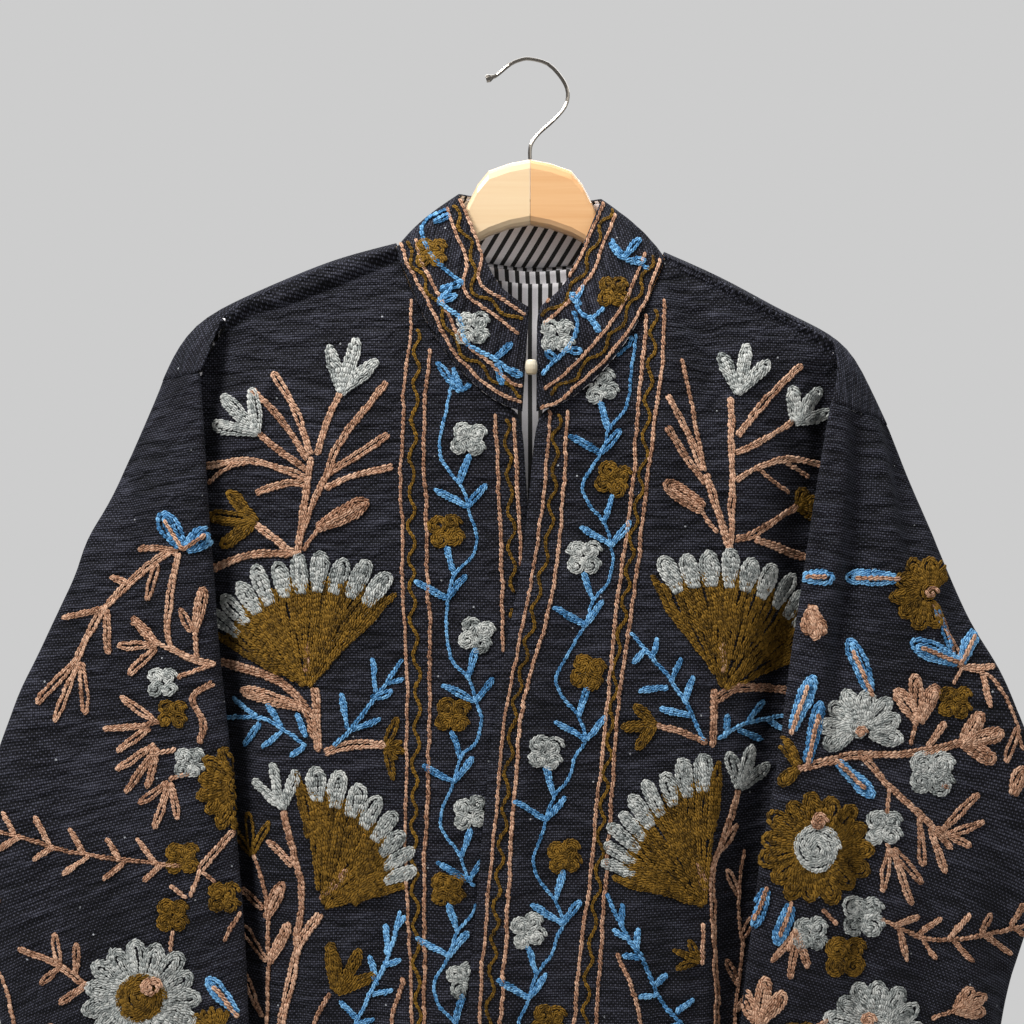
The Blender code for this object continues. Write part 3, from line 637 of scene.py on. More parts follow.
    def press(self, mesh: bpy.types.Mesh) -> None:
        """Moves the cloth in and out along its own faces by the panel's creases.

        Args:
            mesh: The panel's fine mesh.
        """
        count = len(mesh.vertices)
        points, facing = np.zeros(count * 3), np.zeros(count * 3)
        mesh.vertices.foreach_get("co", points)
        mesh.vertex_normals.foreach_get("vector", facing)
        points, facing = points.reshape(-1, 3), facing.reshape(-1, 3)
        place = points[:, [0, 2]] / MM
        moved = np.zeros(count)
        for crease in self.creases:
            route = np.array(crease.route, float)
            lengths = np.linalg.norm(np.diff(route, axis=0), axis=1)
            starts = np.concatenate([[0], np.cumsum(lengths)[:-1]])
            nearest, along = np.full(count, 1e9), np.zeros(count)
            for a, b, length, start in zip(route, route[1:], lengths, starts):
                share = np.clip(((place - a) @ (b - a)) / length**2, 0, 1)
                away = np.linalg.norm(place - (a + share[:, None] * (b - a)), axis=1)
                along = np.where(away < nearest, start + share * length, along)
                nearest = np.minimum(nearest, away)
            fade = np.sin(np.pi * np.clip(along / lengths.sum(), 0, 1)) ** 0.7
            shown = np.clip(facing[:, 1] * crease.side.value * 2, 0, 1)
            moved += crease.rise * fade * shown * np.exp(-((nearest / crease.half) ** 2))
        if self.roll:
            moved += self.rolled(place, points)
        points += facing * moved[:, None] * MM
        mesh.vertices.foreach_set("co", points.ravel())
        mesh.update()

    def rolled(self, place: np.ndarray, points: np.ndarray) -> np.ndarray:
        """Rolls the cloth above the shoulder seam forward over the lip of the back.

        Args:
            place: The vertices' places in millimetres.
            points: Their positions in metres, whose top ones are moved up here.

        Returns:
            How far each moves out.
        """
        seam = np.array(sorted(self.roll), float)
        above = place[:, 1] - np.interp(place[:, 0], seam[:, 0], seam[:, 1])
        inward = np.clip((np.abs(seam[:, 0]).max() - np.abs(place[:, 0])) / self.ROLL_FADE, 0, 1)
        within = (place[:, 0] > seam[0, 0] - 4) & (place[:, 0] < seam[-1, 0] + 4) & (above > -12)
        bins = np.round(place[:, 0] / self.ROLL_STEP).astype(int)
        top = {key: place[within & (bins == key), 1].max() for key in set(bins[within])}
        under = np.array([top.get(key, 1e9) for key in bins]) - place[:, 1]
        lifted = self.ROLL_LIFT * np.clip(1 - under / self.ROLL_TOP, 0, 1)
        points[:, 2] += np.where(within, lifted, 0) * MM
        raised = np.clip(above / self.ROLL_WIDE, 0, 1)
        trough = self.ROLL_TROUGH * inward * np.exp(-((above / self.TROUGH_WIDE) ** 2))
        return np.where(within, self.ROLL_RAISE * raised * raised * (3 - 2 * raised) - trough, 0)

    def build(self, outside: bpy.types.Material, within: bpy.types.Material) -> bpy.types.Object:
        """Builds the panel's shell in place of its solid.

        Args:
            outside: The finish of the side that faces out.
            within: The finish of the side that faces in.

        Returns:
            The panel's object.
        """
        bm = self.outer_face()
        self.mark_underarm(bm)
        if self.lipped:
            self.tuck_neck(bm)
        mesh = bpy.data.meshes.new(f"{self.node}_cloth")
        bm.to_mesh(mesh)
        bm.free()
        mesh.materials.clear()
        while mesh.uv_layers:
            mesh.uv_layers.remove(mesh.uv_layers[0])
        mesh.uv_layers.new(name="Cut")
        obj = bpy.data.objects.new(f"{self.node}_cloth", mesh)
        bpy.context.scene.collection.objects.link(obj)
        self.lay_flat(obj)
        fine = obj.modifiers.new("Fine", "SUBSURF")
        fine.levels = fine.render_levels = self.levels
        fine.boundary_smooth = "PRESERVE_CORNERS"
        graph = bpy.context.evaluated_depsgraph_get()
        obj.data = bpy.data.meshes.new_from_object(obj.evaluated_get(graph))
        obj.modifiers.clear()
        obj.data.materials.append(outside)
        obj.data.materials.append(within)
        if self.roll:
            self.refine(obj.data)
        self.press(obj.data)
        obj.data.shade_smooth()
        return obj

    def dress(self, obj: bpy.types.Object) -> None:
        """Args:
            obj: The shell.
        """
        thick = obj.modifiers.new("Thickness", "SOLIDIFY")
        thick.thickness = self.wall * MM
        thick.offset = -1.0
        thick.material_offset = 1
        thick.material_offset_rim = 0
        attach(obj, BODY)
        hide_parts(self.node)
        LOG.info("%s: %d faces", obj.name, len(obj.data.polygons))


@dataclass(frozen=True)
class Run:
    """A row of chain stitch along a route on the hanger's plane."""

    yarn: Yarn
    route: np.ndarray
    width: float = STITCH
    lift: float = 0.0


def smoothed(points: np.ndarray | list | tuple, spacing: float = PITCH) -> np.ndarray:
    """Draws a smooth curve through points and steps along it evenly.

    Args:
        points: Places that the curve goes through.
        spacing: Length of a step.

    Returns:
        The steps' ends, as an array of places.
    """
    given = np.array(points, float)
    if len(given) > 2:
        padded = np.vstack([2 * given[0] - given[1], given, 2 * given[-1] - given[-2]])
        t = np.linspace(0, 1, 9)[:-1, None]
        spans = [
            0.5 * (2 * b + (c - a) * t + (2 * a - 5 * b + 4 * c - d) * t**2 + (3 * b - a - 3 * c + d) * t**3)
            for a, b, c, d in zip(padded, padded[1:], padded[2:], padded[3:])
        ]
        given = np.vstack([*spans, given[-1:]])
    reached = np.concatenate([[0], np.cumsum(np.linalg.norm(np.diff(given, axis=0), axis=1))])
    steps = max(round(reached[-1] / spacing), 1)
    at = np.linspace(0, reached[-1], steps + 1)
    return np.stack([np.interp(at, reached, given[:, axis]) for axis in (0, 1)], 1)


def beside(route: np.ndarray, distance: float | np.ndarray) -> np.ndarray:
    """Moves a route sideways.

    Args:
        route: The route.
        distance: How far to its left, one for all or a column of them.

    Returns:
        The moved route.
    """
    ahead = np.gradient(route, axis=0)
    ahead /= np.linalg.norm(ahead, axis=1)[:, None] + 1e-9
    return route + distance * np.stack([-ahead[:, 1], ahead[:, 0]], 1)


def polar(at: Place, angle: float, reach: float) -> Place:
    """Returns the place at a reach and an angle in degrees from another."""
    return (at[0] + reach * math.cos(math.radians(angle)), at[1] + reach * math.sin(math.radians(angle)))


@dataclass(frozen=True)
class Motif:
    """Something drawn in chain stitch."""

    yarn: Yarn

    def runs(self) -> list[Run]:
        """Returns the rows of stitch that draw it."""
        raise NotImplementedError


@dataclass(frozen=True)
class Stem(Motif):
    """A stem of one or two rows side by side."""

    route: tuple[Place, ...]
    rows: int = 1
    width: float = STITCH

    def runs(self) -> list[Run]:
        """Works out its rows, the second one worked back along the first.

        Returns:
            The rows of stitch.
        """
        step = min(PITCH, self.width * 1.1)
        line = smoothed(self.route, step)
        if self.rows == 1:
            return [Run(self.yarn, line, self.width)]
        half = self.width * 0.33
        loop = np.vstack([beside(line, half), beside(line, -half)[::-1]])
        return [Run(self.yarn, smoothed(loop, step), self.width)]


@dataclass(frozen=True)
class Wavy(Motif):
    """A wavy line between two straight ones."""

    route: tuple[Place, ...]
    swing: float = 2.7
    period: float = 27.0

    def runs(self) -> list[Run]:
        """Works out its one row.

        Returns:
            The rows of stitch.
        """
        line = smoothed(self.route, 2.0)
        along = np.arange(len(line)) * 2.0
        bend = self.swing * np.sin(along * math.tau / self.period + 0.7 * np.sin(along / 31))
        return [Run(self.yarn, smoothed(beside(line, bend[:, None]), 3.6), 3.4)]


@dataclass(frozen=True)
class Leaf(Motif):
    """A leaf or petal worked in long rows from its root to its tip and back."""

    root: Place
    tip: Place
    width: float = 8.2
    lift: float = 0.0

    def runs(self) -> list[Run]:
        """Works out its rows as loops inside each other, the outer one first.

        Returns:
            The rows of stitch.
        """
        root, tip = np.array(self.root, float), np.array(self.tip, float)
        length = max(np.linalg.norm(tip - root), 1e-6)
        across = np.array([root[1] - tip[1], tip[0] - root[0]]) / length
        t = np.linspace(0, 1, max(round(length / PITCH), 3) + 1)[:, None]
        past = np.clip((t - 0.66) / 0.36, 0, 1)
        rising = 0.42 + 0.58 * np.sin(np.clip(t / 0.66, 0, 1) * np.pi / 2)
        swell = np.where(t < 0.66, rising, np.sqrt(1 - past**2))
        wide = STITCH if self.width > 9 else 3.7
        outer = half = (self.width - wide * (0.85 if self.width > 9 else 1.1)) / 2
        made = []
        while half > 0.9:
            inset = 1 - (outer - half) / length
            up = [root + (tip - root) * t * inset + side * across * swell * half for side in (-1, 1)]
            turned = smoothed(np.vstack([up[0], up[1][::-1]]), wide * 0.9)
            made.append(Run(self.yarn, turned, wide, self.lift))
            half -= 3.1
        if half > -0.6:
            line = [root, root + (tip - root) * (1 - (outer - half) / length)]
            made.append(Run(self.yarn, smoothed(line, wide * 0.9), wide, self.lift))
        return made


@dataclass(frozen=True)
class Disc(Motif):
    """A round patch worked as a spiral."""

    at: Place
    radius: float
    lift: float = 0.0

    def runs(self) -> list[Run]:
        """Works out its one row, from the rim in.

        Returns:
            The rows of stitch.
        """
        reach = max(self.radius - 1.9, 0.8)
        turns = max(reach / 3.0, 0.9)
        t = np.linspace(0, 1, max(int(turns * 14), 10))
        angle = t * turns * math.tau
        radius = reach * (1 - t * 0.93)
        ring = np.stack([self.at[0] + radius * np.cos(angle), self.at[1] + radius * np.sin(angle)], 1)
        return [Run(self.yarn, smoothed(ring, PITCH * 0.9), STITCH * 0.95, self.lift)]


@dataclass(frozen=True)
class Posy(Motif):
    """A small flower of four round petals."""

    at: Place
    size: float = 32.0
    turn: float = 45.0

    def runs(self) -> list[Run]:
        """Works out its four petals, each a small spiral.

        Returns:
            The rows of stitch.
        """
        made = []
        for quarter in range(4):
            middle = polar(self.at, self.turn + 90 * quarter, self.size * 0.25)
            made += Disc(self.yarn, middle, self.size * 0.29).runs()
        return made


@dataclass(frozen=True)
class Tulip(Motif):
    """Three leaves that fan out of one root."""

    at: Place
    turn: float
    size: float = 38.0
    spread: float = 35.0
    width: float = 12.0

    def runs(self) -> list[Run]:
        """Works out its three leaves, the middle one longest.

        Returns:
            The rows of stitch.
        """
        made = []
        for step, share in ((-1, 0.86), (1, 0.86), (0, 1.0)):
            tip = polar(self.at, self.turn + step * self.spread, self.size * share)
            made += Leaf(self.yarn, self.at, tip, self.width).runs()
        return made


@dataclass(frozen=True)
class Bud(Motif):
    """A filled bud with a line of another yarn up its middle."""

    root: Place
    tip: Place
    width: float = 13.0
    line: Yarn = Yarn.SALMON

    def runs(self) -> list[Run]:
        """Returns the bud and the line on it."""
        root, tip = np.array(self.root, float), np.array(self.tip, float)
        return [
            *Leaf(self.yarn, self.root, self.tip, self.width).runs(),
            Run(self.line, smoothed([root - (tip - root) * 0.08, tip - (tip - root) * 0.2]), STITCH, 1.2),
        ]


@dataclass(frozen=True)
class Daisy(Motif):
    """A flower of long petals round a filled middle, with a small dot."""

    at: Place
    size: float
    petals: int
    core: Yarn
    core_share: float = 0.42
    dot: Place | None = None
    first: float = 0.0
    last: float = 360.0

    def runs(self) -> list[Run]:
        """Works out its petals, middle and dot.

        Returns:
            The rows of stitch.
        """
        made = []
        middle = self.size / 2 * self.core_share
        step = (self.last - self.first) / (self.petals if self.last - self.first >= 360 else self.petals - 1)
        width = 1.5 * self.size / 2 * math.radians(step) * 0.52 + 2.2
        for petal in range(self.petals):
            angle = self.first + petal * step
            reach = self.size / 2 * (1 - 0.06 * (petal % 2))
            ends = polar(self.at, angle, middle * 0.8), polar(self.at, angle, reach)
            made += Leaf(self.yarn, *ends, width).runs()
        if middle > 5:
            made += Disc(self.core, self.at, middle, 0.6).runs()
        if self.dot:
            made += Disc(Yarn.SALMON, self.dot, max(6.6, self.size * 0.1), 3.0).runs()
        return made


@dataclass(frozen=True)
class Palmette(Motif):
    """A fan filled with rows that rise out of its root, fringed with petals, with a horn at each end."""

    at: Place
    first: float
    last: float
    reach_first: float
    reach_last: float
    petals: int
    petal: float = 25.0

    # Every 8th row rises from the root, and the ones between start farther out, so that none crowd it.
    STARTS = ((8, 0.03), (4, 0.15), (2, 0.3), (1, 0.55))

    def reach(self, angle: float) -> float:
        """Returns the fan's radius at an angle."""
        share = (angle - self.first) / (self.last - self.first)
        return self.reach_first + (self.reach_last - self.reach_first) * share

    def runs(self) -> list[Run]:
        """Works out the fan's rows, then its horns and petals.

        Returns:
            The rows of stitch.
        """
        made = []
        mean = (self.reach_first + self.reach_last) / 2
        rows = round(math.radians(self.last - self.first) * mean / 3.1)
        for row in range(rows + 1):
            angle = self.first + (self.last - self.first) * row / rows
            start = next(share for every, share in self.STARTS if row % every == 0)
            tooth = abs((row / rows * (self.petals + 0.6) - 0.3) % 1 - 0.5) * 2
            jag = 0.97 + 0.13 * tooth + 0.02 * math.sin(row * 2.3)
            lean = 2.6 * math.sin(row * 0.31)
            reach = self.reach(angle)
            middle = polar(self.at, angle + lean, reach * (start + jag) / 2)
            ends = [polar(self.at, angle, reach * start), middle, polar(self.at, angle, reach * jag)]
            worked = smoothed(ends if row % 2 else ends[::-1], PITCH * 0.93)
            made.append(Run(self.yarn, worked, STITCH * 1.04))
        for angle in (self.first, self.last):
            reach = self.reach(angle)
            ends = polar(self.at, angle, reach * 0.6), polar(self.at, angle, reach + 15)
            made += Leaf(self.yarn, *ends, 8.0).runs()
        step = (self.last - self.first) / (self.petals + 0.6)
        for petal in range(self.petals):
            angle = self.first + (petal + 0.8) * step
            low = self.reach(angle) * 0.94
            high = low + 1.12 * self.petal * (1 + 0.08 * math.sin(petal * 2.3))
            width = (low + 9) * math.radians(step) * 1.08
            ends = polar(self.at, angle, low), polar(self.at, angle, high)
            made += Leaf(Yarn.GREY, *ends, width, 0.3).runs()
        return made


@dataclass(frozen=True)
class Sprig(Motif):
    """A stem with side twigs, each a narrow loop."""

    route: tuple[Place, ...]
    twigs: tuple[tuple[Place, Place], ...]
    rows: int = 1
    width: float = 6.6

    def runs(self) -> list[Run]:
        """Works out the stem and its twigs.

        Returns:
            The rows of stitch.
        """
        made = Stem(self.yarn, self.route, self.rows).runs()
        for root, tip in self.twigs:
            made += Leaf(self.yarn, root, tip, self.width).runs()
        return made


@dataclass(frozen=True)
class Fern(Motif):
    """A stem with pairs of twigs that lean towards its far end."""

    route: tuple[Place, ...]
    pairs: int
    twig: float = 22.0
    lean: float = 48.0

    def runs(self) -> list[Run]:
        """Works out the stem and its twigs, a little uneven.

        Returns:
            The rows of stitch.
        """
        line = smoothed(self.route)
        made = [Run(self.yarn, line)]
        for pair in range(self.pairs):
            at = min(int((pair + 0.7) / self.pairs * (len(line) - 1)), len(line) - 2)
            ahead = math.degrees(math.atan2(*(line[at + 1] - line[at])[::-1]))
            for side in (-1, 1):
                long = self.twig * (1 - 0.12 * math.sin(pair * 2.1 + side))
                root = tuple(line[max(at - (side > 0), 0)])
                made += Leaf(self.yarn, root, polar(root, ahead + side * self.lean, long), 6.4).runs()
        return made


@dataclass(frozen=True)
class Vine(Motif):
    """A swinging vine with a forked leaf under each flower of a border."""

    flowers: tuple[Place, ...]
    start: Place
    side: int

    def runs(self) -> list[Run]:
        """Works out the vine, the flowers' stalks and the forked leaves.

        Returns:
            The rows of stitch.
        """
        made, route, side = [], [self.start], self.side
        for across, up in self.flowers:
            route += [(across - side * 24, up - 2), (across - side * 19, up - 20)]
            joint = (across - side * 7, up - 34)
            fork = (across - side * 1, up - 53)
            route += [joint, fork]
            made += Leaf(self.yarn, joint, (across, up - 11), 7.0).runs()
            made += Leaf(self.yarn, fork, (fork[0] - 25, fork[1] + 14), 7.4).runs()
            made += Leaf(self.yarn, fork, (fork[0] + 15, fork[1] + 19), 7.4).runs()
            petals = Yarn.GREY if side == self.side else Yarn.OLIVE
            made += Posy(petals, (across, up), 33, 30 + 8 * (up % 5)).runs()
            side = -side
        return [Run(self.yarn, smoothed(route, 3.7), 3.4), *made]


S, O, B, G = Yarn.SALMON, Yarn.OLIVE, Yarn.BLUE, Yarn.GREY

RIGHT_BORDER: tuple[Motif, ...] = (
    Stem(S, ((-95, -191), (-103, -319), (-101, -431), (-98, -511), (-100, -639), (-94, -751), (-92, -887)),
        1, 3.3),
    Wavy(O, ((-90, -215), (-94, -319), (-94, -431), (-90, -511), (-93, -639), (-90, -751), (-87, -886))),
    Stem(S, ((-80, -231), (-85, -303), (-82, -399), (-80, -511), (-84, -639), (-84, -751), (-82, -887)),
        1, 3.9),
    Stem(S, ((-28, -283), (-22, -424), (-21, -495), (-18, -591)), 1, 3.9),
    Wavy(O, ((-19, -287), (-15, -367), (-14, -431), (-14, -511))),
    Stem(S, ((-13, -286), (-7, -409), (-6, -511)), 1, 3.9),
    Vine(B, ((-49, -304), (-67, -377), (-43, -460), (-62, -524), (-48, -602), (-66, -663), (-53, -736),
        (-67, -799), (-50, -859)), (-60, -249), 1),
    Leaf(B, (-56, -265), (-74, -242)), Leaf(B, (-54, -265), (-62, -247), 6),
    Leaf(B, (-53, -263), (-46, -255), 6),
)

RIGHT_FRONT_DRAWING: tuple[Motif, ...] = (
    Tulip(G, (-151, -266), 73, 44, 31), Tulip(G, (-218, -298), 133, 41, 36),
    Stem(S, ((-186, -396), (-184, -379), (-178, -338), (-175, -317)), 2, 4),
    Stem(S, ((-175, -315), (-187, -281), (-205, -250)), 2, 3.6),
    Stem(S, ((-178, -319), (-197, -290), (-222, -262)), 2, 3.6),
    Stem(S, ((-152, -266), (-162, -290), (-170, -315)), 2, 3.6),
    Stem(S, ((-218, -298), (-197, -315), (-176, -330)), 2, 3.6),
    Stem(S, ((-259, -324), (-229, -320), (-202, -325), (-178, -334)), 2, 3.6),
    Stem(S, ((-257, -338), (-242, -328), (-226, -322))),
    Stem(S, ((-219, -346), (-197, -338), (-178, -337)), 2, 3.6),
    Stem(S, ((-115, -257), (-140, -289), (-155, -311), (-162, -330), (-172, -351), (-182, -378)), 2, 3.6),
    Stem(S, ((-113, -299), (-136, -314), (-161, -330)), 2, 3.8),
    Stem(S, ((-110, -325), (-140, -332), (-162, -341)), 2, 3.8), Leaf(S, (-170, -374), (-130, -354), 15.5),
    Stem(S, ((-168, -373), (-182, -391))), Tulip(O, (-219, -369), 173, 38, 42),
    Stem(S, ((-222, -369), (-206, -381), (-189, -394)), 2, 3.8),
    Stem(S, ((-257, -408), (-225, -396), (-191, -394)), 2),
    Palmette(O, (-179, -502), 47, 149, 89, 71, 10, 27), Leaf(S, (-178, -489), (-178, -466), 6),
    Stem(S, ((-172, -502), (-170, -551)), 2, 4.6),
    Stem(S, ((-264, -479), (-232, -485), (-198, -498), (-178, -521), (-172, -542)), 2, 5),
    Leaf(S, (-182, -518), (-229, -503), 12),
    Sprig(B, ((-179, -548), (-196, -535), (-214, -526), (-246, -524)), (((-218, -524), (-238, -510)),
        ((-198, -533), (-210, -514)), ((-179, -541), (-186, -522)), ((-216, -530), (-228, -548)),
        ((-198, -537), (-213, -549)), ((-181, -548), (-192, -556)))),
    Sprig(B, ((-157, -548), (-142, -534), (-120, -505), (-101, -479)), (((-146, -535), (-151, -507)),
        ((-123, -505), (-126, -479)), ((-142, -535), (-120, -528)), ((-126, -510), (-110, -505)),
        ((-114, -498), (-102, -495)))),
    Stem(S, ((-164, -553), (-142, -547), (-116, -548)), 2, 4.2), Tulip(O, (-115, -548), -18, 15, width=8),
    Leaf(O, (-115, -548), (-106, -526), 8), Leaf(O, (-115, -549), (-109, -574), 8),
    Palmette(O, (-166, -677), 14, 101, 54, 94, 8, 24), Leaf(O, (-142, -673), (-115, -652), 15),
    Leaf(S, (-168, -670), (-147, -647), 9), Tulip(G, (-198, -598), 101, 37, 33, 10),
    Stem(S, ((-197, -600), (-187, -641), (-182, -665), (-186, -707)), 2, 3.8),
    Leaf(S, (-189, -644), (-209, -624)), Tulip(O, (-222, -635), 94, 34, 33, 9),
    Stem(S, ((-220, -635), (-212, -666), (-208, -718), (-211, -799), (-208, -871))),
    Leaf(S, (-211, -686), (-198, -657), 12), Leaf(S, (-213, -678), (-231, -661)),
    Leaf(S, (-208, -721), (-192, -691), 10), Leaf(S, (-210, -719), (-231, -691), 9),
    Leaf(S, (-214, -765), (-232, -721)),
    Stem(S, ((-168, -682), (-183, -706), (-192, -739), (-200, -775), (-203, -823), (-200, -879)), 2, 4.6),
    Tulip(O, (-154, -745), 61, 38, width=11), Leaf(O, (-156, -743), (-160, -705), 11),
    Stem(S, ((-160, -746), (-170, -761), (-179, -791), (-187, -823))),
    Sprig(B, ((-104, -680), (-109, -703), (-118, -728), (-130, -751), (-142, -775), (-160, -807)),
        (((-107, -695), (-100, -683)), ((-114, -715), (-115, -691)), ((-115, -723), (-104, -719)),
        ((-123, -739), (-128, -715)), ((-126, -747), (-111, -743)), ((-138, -766), (-152, -751)),
        ((-140, -771), (-125, -766)), ((-148, -788), (-160, -775)), ((-152, -793), (-134, -791)))),
    Stem(S, ((-101, -734), (-110, -765), (-114, -799))), Tulip(G, (-134, -825), 63, 36, 34),
    Stem(S, ((-136, -826), (-160, -847), (-187, -871))), Leaf(S, (-190, -815), (-168, -804), 9),
    Posy(O, (-229, -815)), Stem(S, ((-226, -825), (-214, -846))), Leaf(S, (-211, -855), (-232, -871), 8),
)

LEFT_BORDER: tuple[Motif, ...] = (
    Stem(S, ((16, -280), (10, -351), (2, -409), (-16, -501), (-24, -559), (-41, -770), (-50, -887)),
        1, 3.4),
    Wavy(O, ((23, -283), (18, -351), (10, -407), (-10, -506), (-17, -559), (-32, -759), (-42, -886))),
    Stem(S, ((30, -280), (26, -351), (18, -424), (-4, -510), (-11, -575), (-24, -770), (-33, -887)),
        1, 3.9),
    Stem(S, ((93, -203), (86, -283), (82, -344), (70, -431), (62, -511), (50, -631), (34, -770),
        (24, -887)), 1, 3.9),
    Wavy(O, ((100, -199), (94, -283), (88, -344), (76, -431), (66, -511), (56, -631), (43, -770),
        (33, -886))),
    Stem(S, ((107, -191), (106, -237), (100, -290), (91, -359), (82, -431), (71, -514), (62, -631),
        (52, -770), (42, -887)), 1, 3.9),
    Vine(B, ((56, -261), (66, -335), (43, -398), (46, -490), (12, -554), (27, -637), (-2, -696),
        (15, -769), (-14, -835)), (85, -219), -1),
    Leaf(B, (61, -241), (82, -222)),
)

LEFT_FRONT_DRAWING: tuple[Motif, ...] = (
    Tulip(G, (166, -266), 79, 39, 34), Tulip(G, (212, -289), 55, 33, 40),
    Stem(S, ((161, -390), (162, -347), (161, -321), (161, -270)), 2, 3.6),
    Stem(S, ((166, -300), (190, -270), (217, -243)), 2, 3.6),
    Stem(S, ((165, -314), (187, -303), (210, -289)), 2, 3.6),
    Stem(S, ((165, -336), (180, -326), (208, -319), (234, -324)), 2, 3.6),
    Stem(S, ((205, -322), (223, -334))), Stem(S, ((182, -326), (207, -346))),
    Tulip(O, (214, -357), 19, 17, 50), Stem(S, ((165, -382), (178, -379), (212, -357)), 2, 3.8),
    Stem(S, ((180, -383), (221, -399)), 2), Stem(S, ((121, -239), (129, -279), (140, -328))),
    Stem(S, ((110, -268), (125, -295), (138, -328)), 2, 3.6),
    Stem(S, ((110, -293), (123, -315), (140, -338)), 2, 3.6),
    Stem(S, ((141, -331), (151, -364), (159, -389)), 2, 4), Leaf(S, (138, -358), (108, -338), 16),
    Stem(S, ((136, -357), (150, -378))), Palmette(O, (154, -503), 24, 122, 78, 92, 10, 25),
    Leaf(S, (154, -489), (154, -466), 6),
    Sprig(B, ((139, -544), (126, -516), (113, -496), (98, -478), (81, -457)), (((98, -478), (102, -462)),
        ((92, -471), (81, -481)), ((113, -496), (121, -478)), ((110, -501), (88, -504)), ((123, -514),
        (130, -493)), ((128, -524), (104, -518)))),
    Sprig(B, ((150, -542), (174, -529), (208, -524)), (((157, -539), (158, -522)), ((174, -529),
        (185, -513)), ((166, -535), (185, -543)), ((188, -526), (203, -535)))),
    Stem(S, ((147, -511), (170, -501), (208, -503)), 2, 4.4), Stem(S, ((147, -503), (146, -548)), 2, 4.4),
    Tulip(O, (100, -532), -178, 27, 48, 10), Stem(S, ((101, -532), (120, -537), (141, -546)), 2, 4),
    Palmette(O, (139, -677), 84, 162, 102, 62, 9, 26), Leaf(S, (134, -641), (140, -663), 8),
    Tulip(G, (167, -581), 72, 34, 34),
    Stem(S, ((166, -583), (154, -622), (145, -648), (146, -687), (149, -751), (147, -823)), 2, 3.8),
    Leaf(S, (152, -631), (165, -612)), Tulip(O, (135, -720), 156, 22, 42, 8),
    Stem(S, ((138, -690), (138, -723))),
    Sprig(B, ((61, -666), (76, -698), (92, -723), (102, -748), (123, -775), (136, -799)), (((74, -694),
        (74, -675)), ((77, -702), (66, -695)), ((85, -710), (86, -694)), ((88, -718), (75, -715)),
        ((100, -739), (110, -731)), ((102, -747), (89, -748)), ((117, -761), (130, -751)), ((120, -770),
        (107, -775)))),
    Stem(S, ((70, -714), (82, -741), (90, -775), (104, -815), (128, -855))),
    Stem(S, ((171, -631), (166, -671), (169, -719), (163, -767), (166, -831))),
    Leaf(S, (166, -668), (157, -647)), Leaf(S, (168, -703), (179, -683)), Leaf(S, (166, -739), (157, -719)),
    Leaf(S, (165, -759), (178, -743)), Leaf(S, (166, -791), (155, -775)), Tulip(G, (88, -847), 109, 34, 33),
    Stem(S, ((90, -849), (107, -868))), Leaf(S, (146, -799), (168, -788), 9), Posy(O, (181, -823)),
    Stem(S, ((178, -833), (166, -850))),
)

BACK_BORDER: tuple[Motif, ...] = (
    Stem(S, ((-20, -195), (-21, -351), (-18, -511), (-21, -671), (-19, -887)), 1, 3.5),
    Wavy(O, ((-14, -195), (-14, -351), (-13, -511), (-14, -671), (-14, -886))),
    Stem(S, ((-8, -195), (-7, -351), (-6, -511), (-8, -671), (-7, -887))),
    Vine(B, ((21, -271), (2, -343), (24, -415), (3, -487), (24, -559), (2, -631), (22, -703), (3, -775),
        (21, -839)), (2, -207), -1),
    Stem(S, ((32, -195), (30, -351), (33, -511), (31, -671), (32, -887))),
    Wavy(O, ((38, -195), (38, -351), (39, -511), (38, -671), (38, -886))),
    Stem(S, ((45, -195), (44, -351), (46, -511), (45, -671), (45, -887)), 1, 3.5),
)

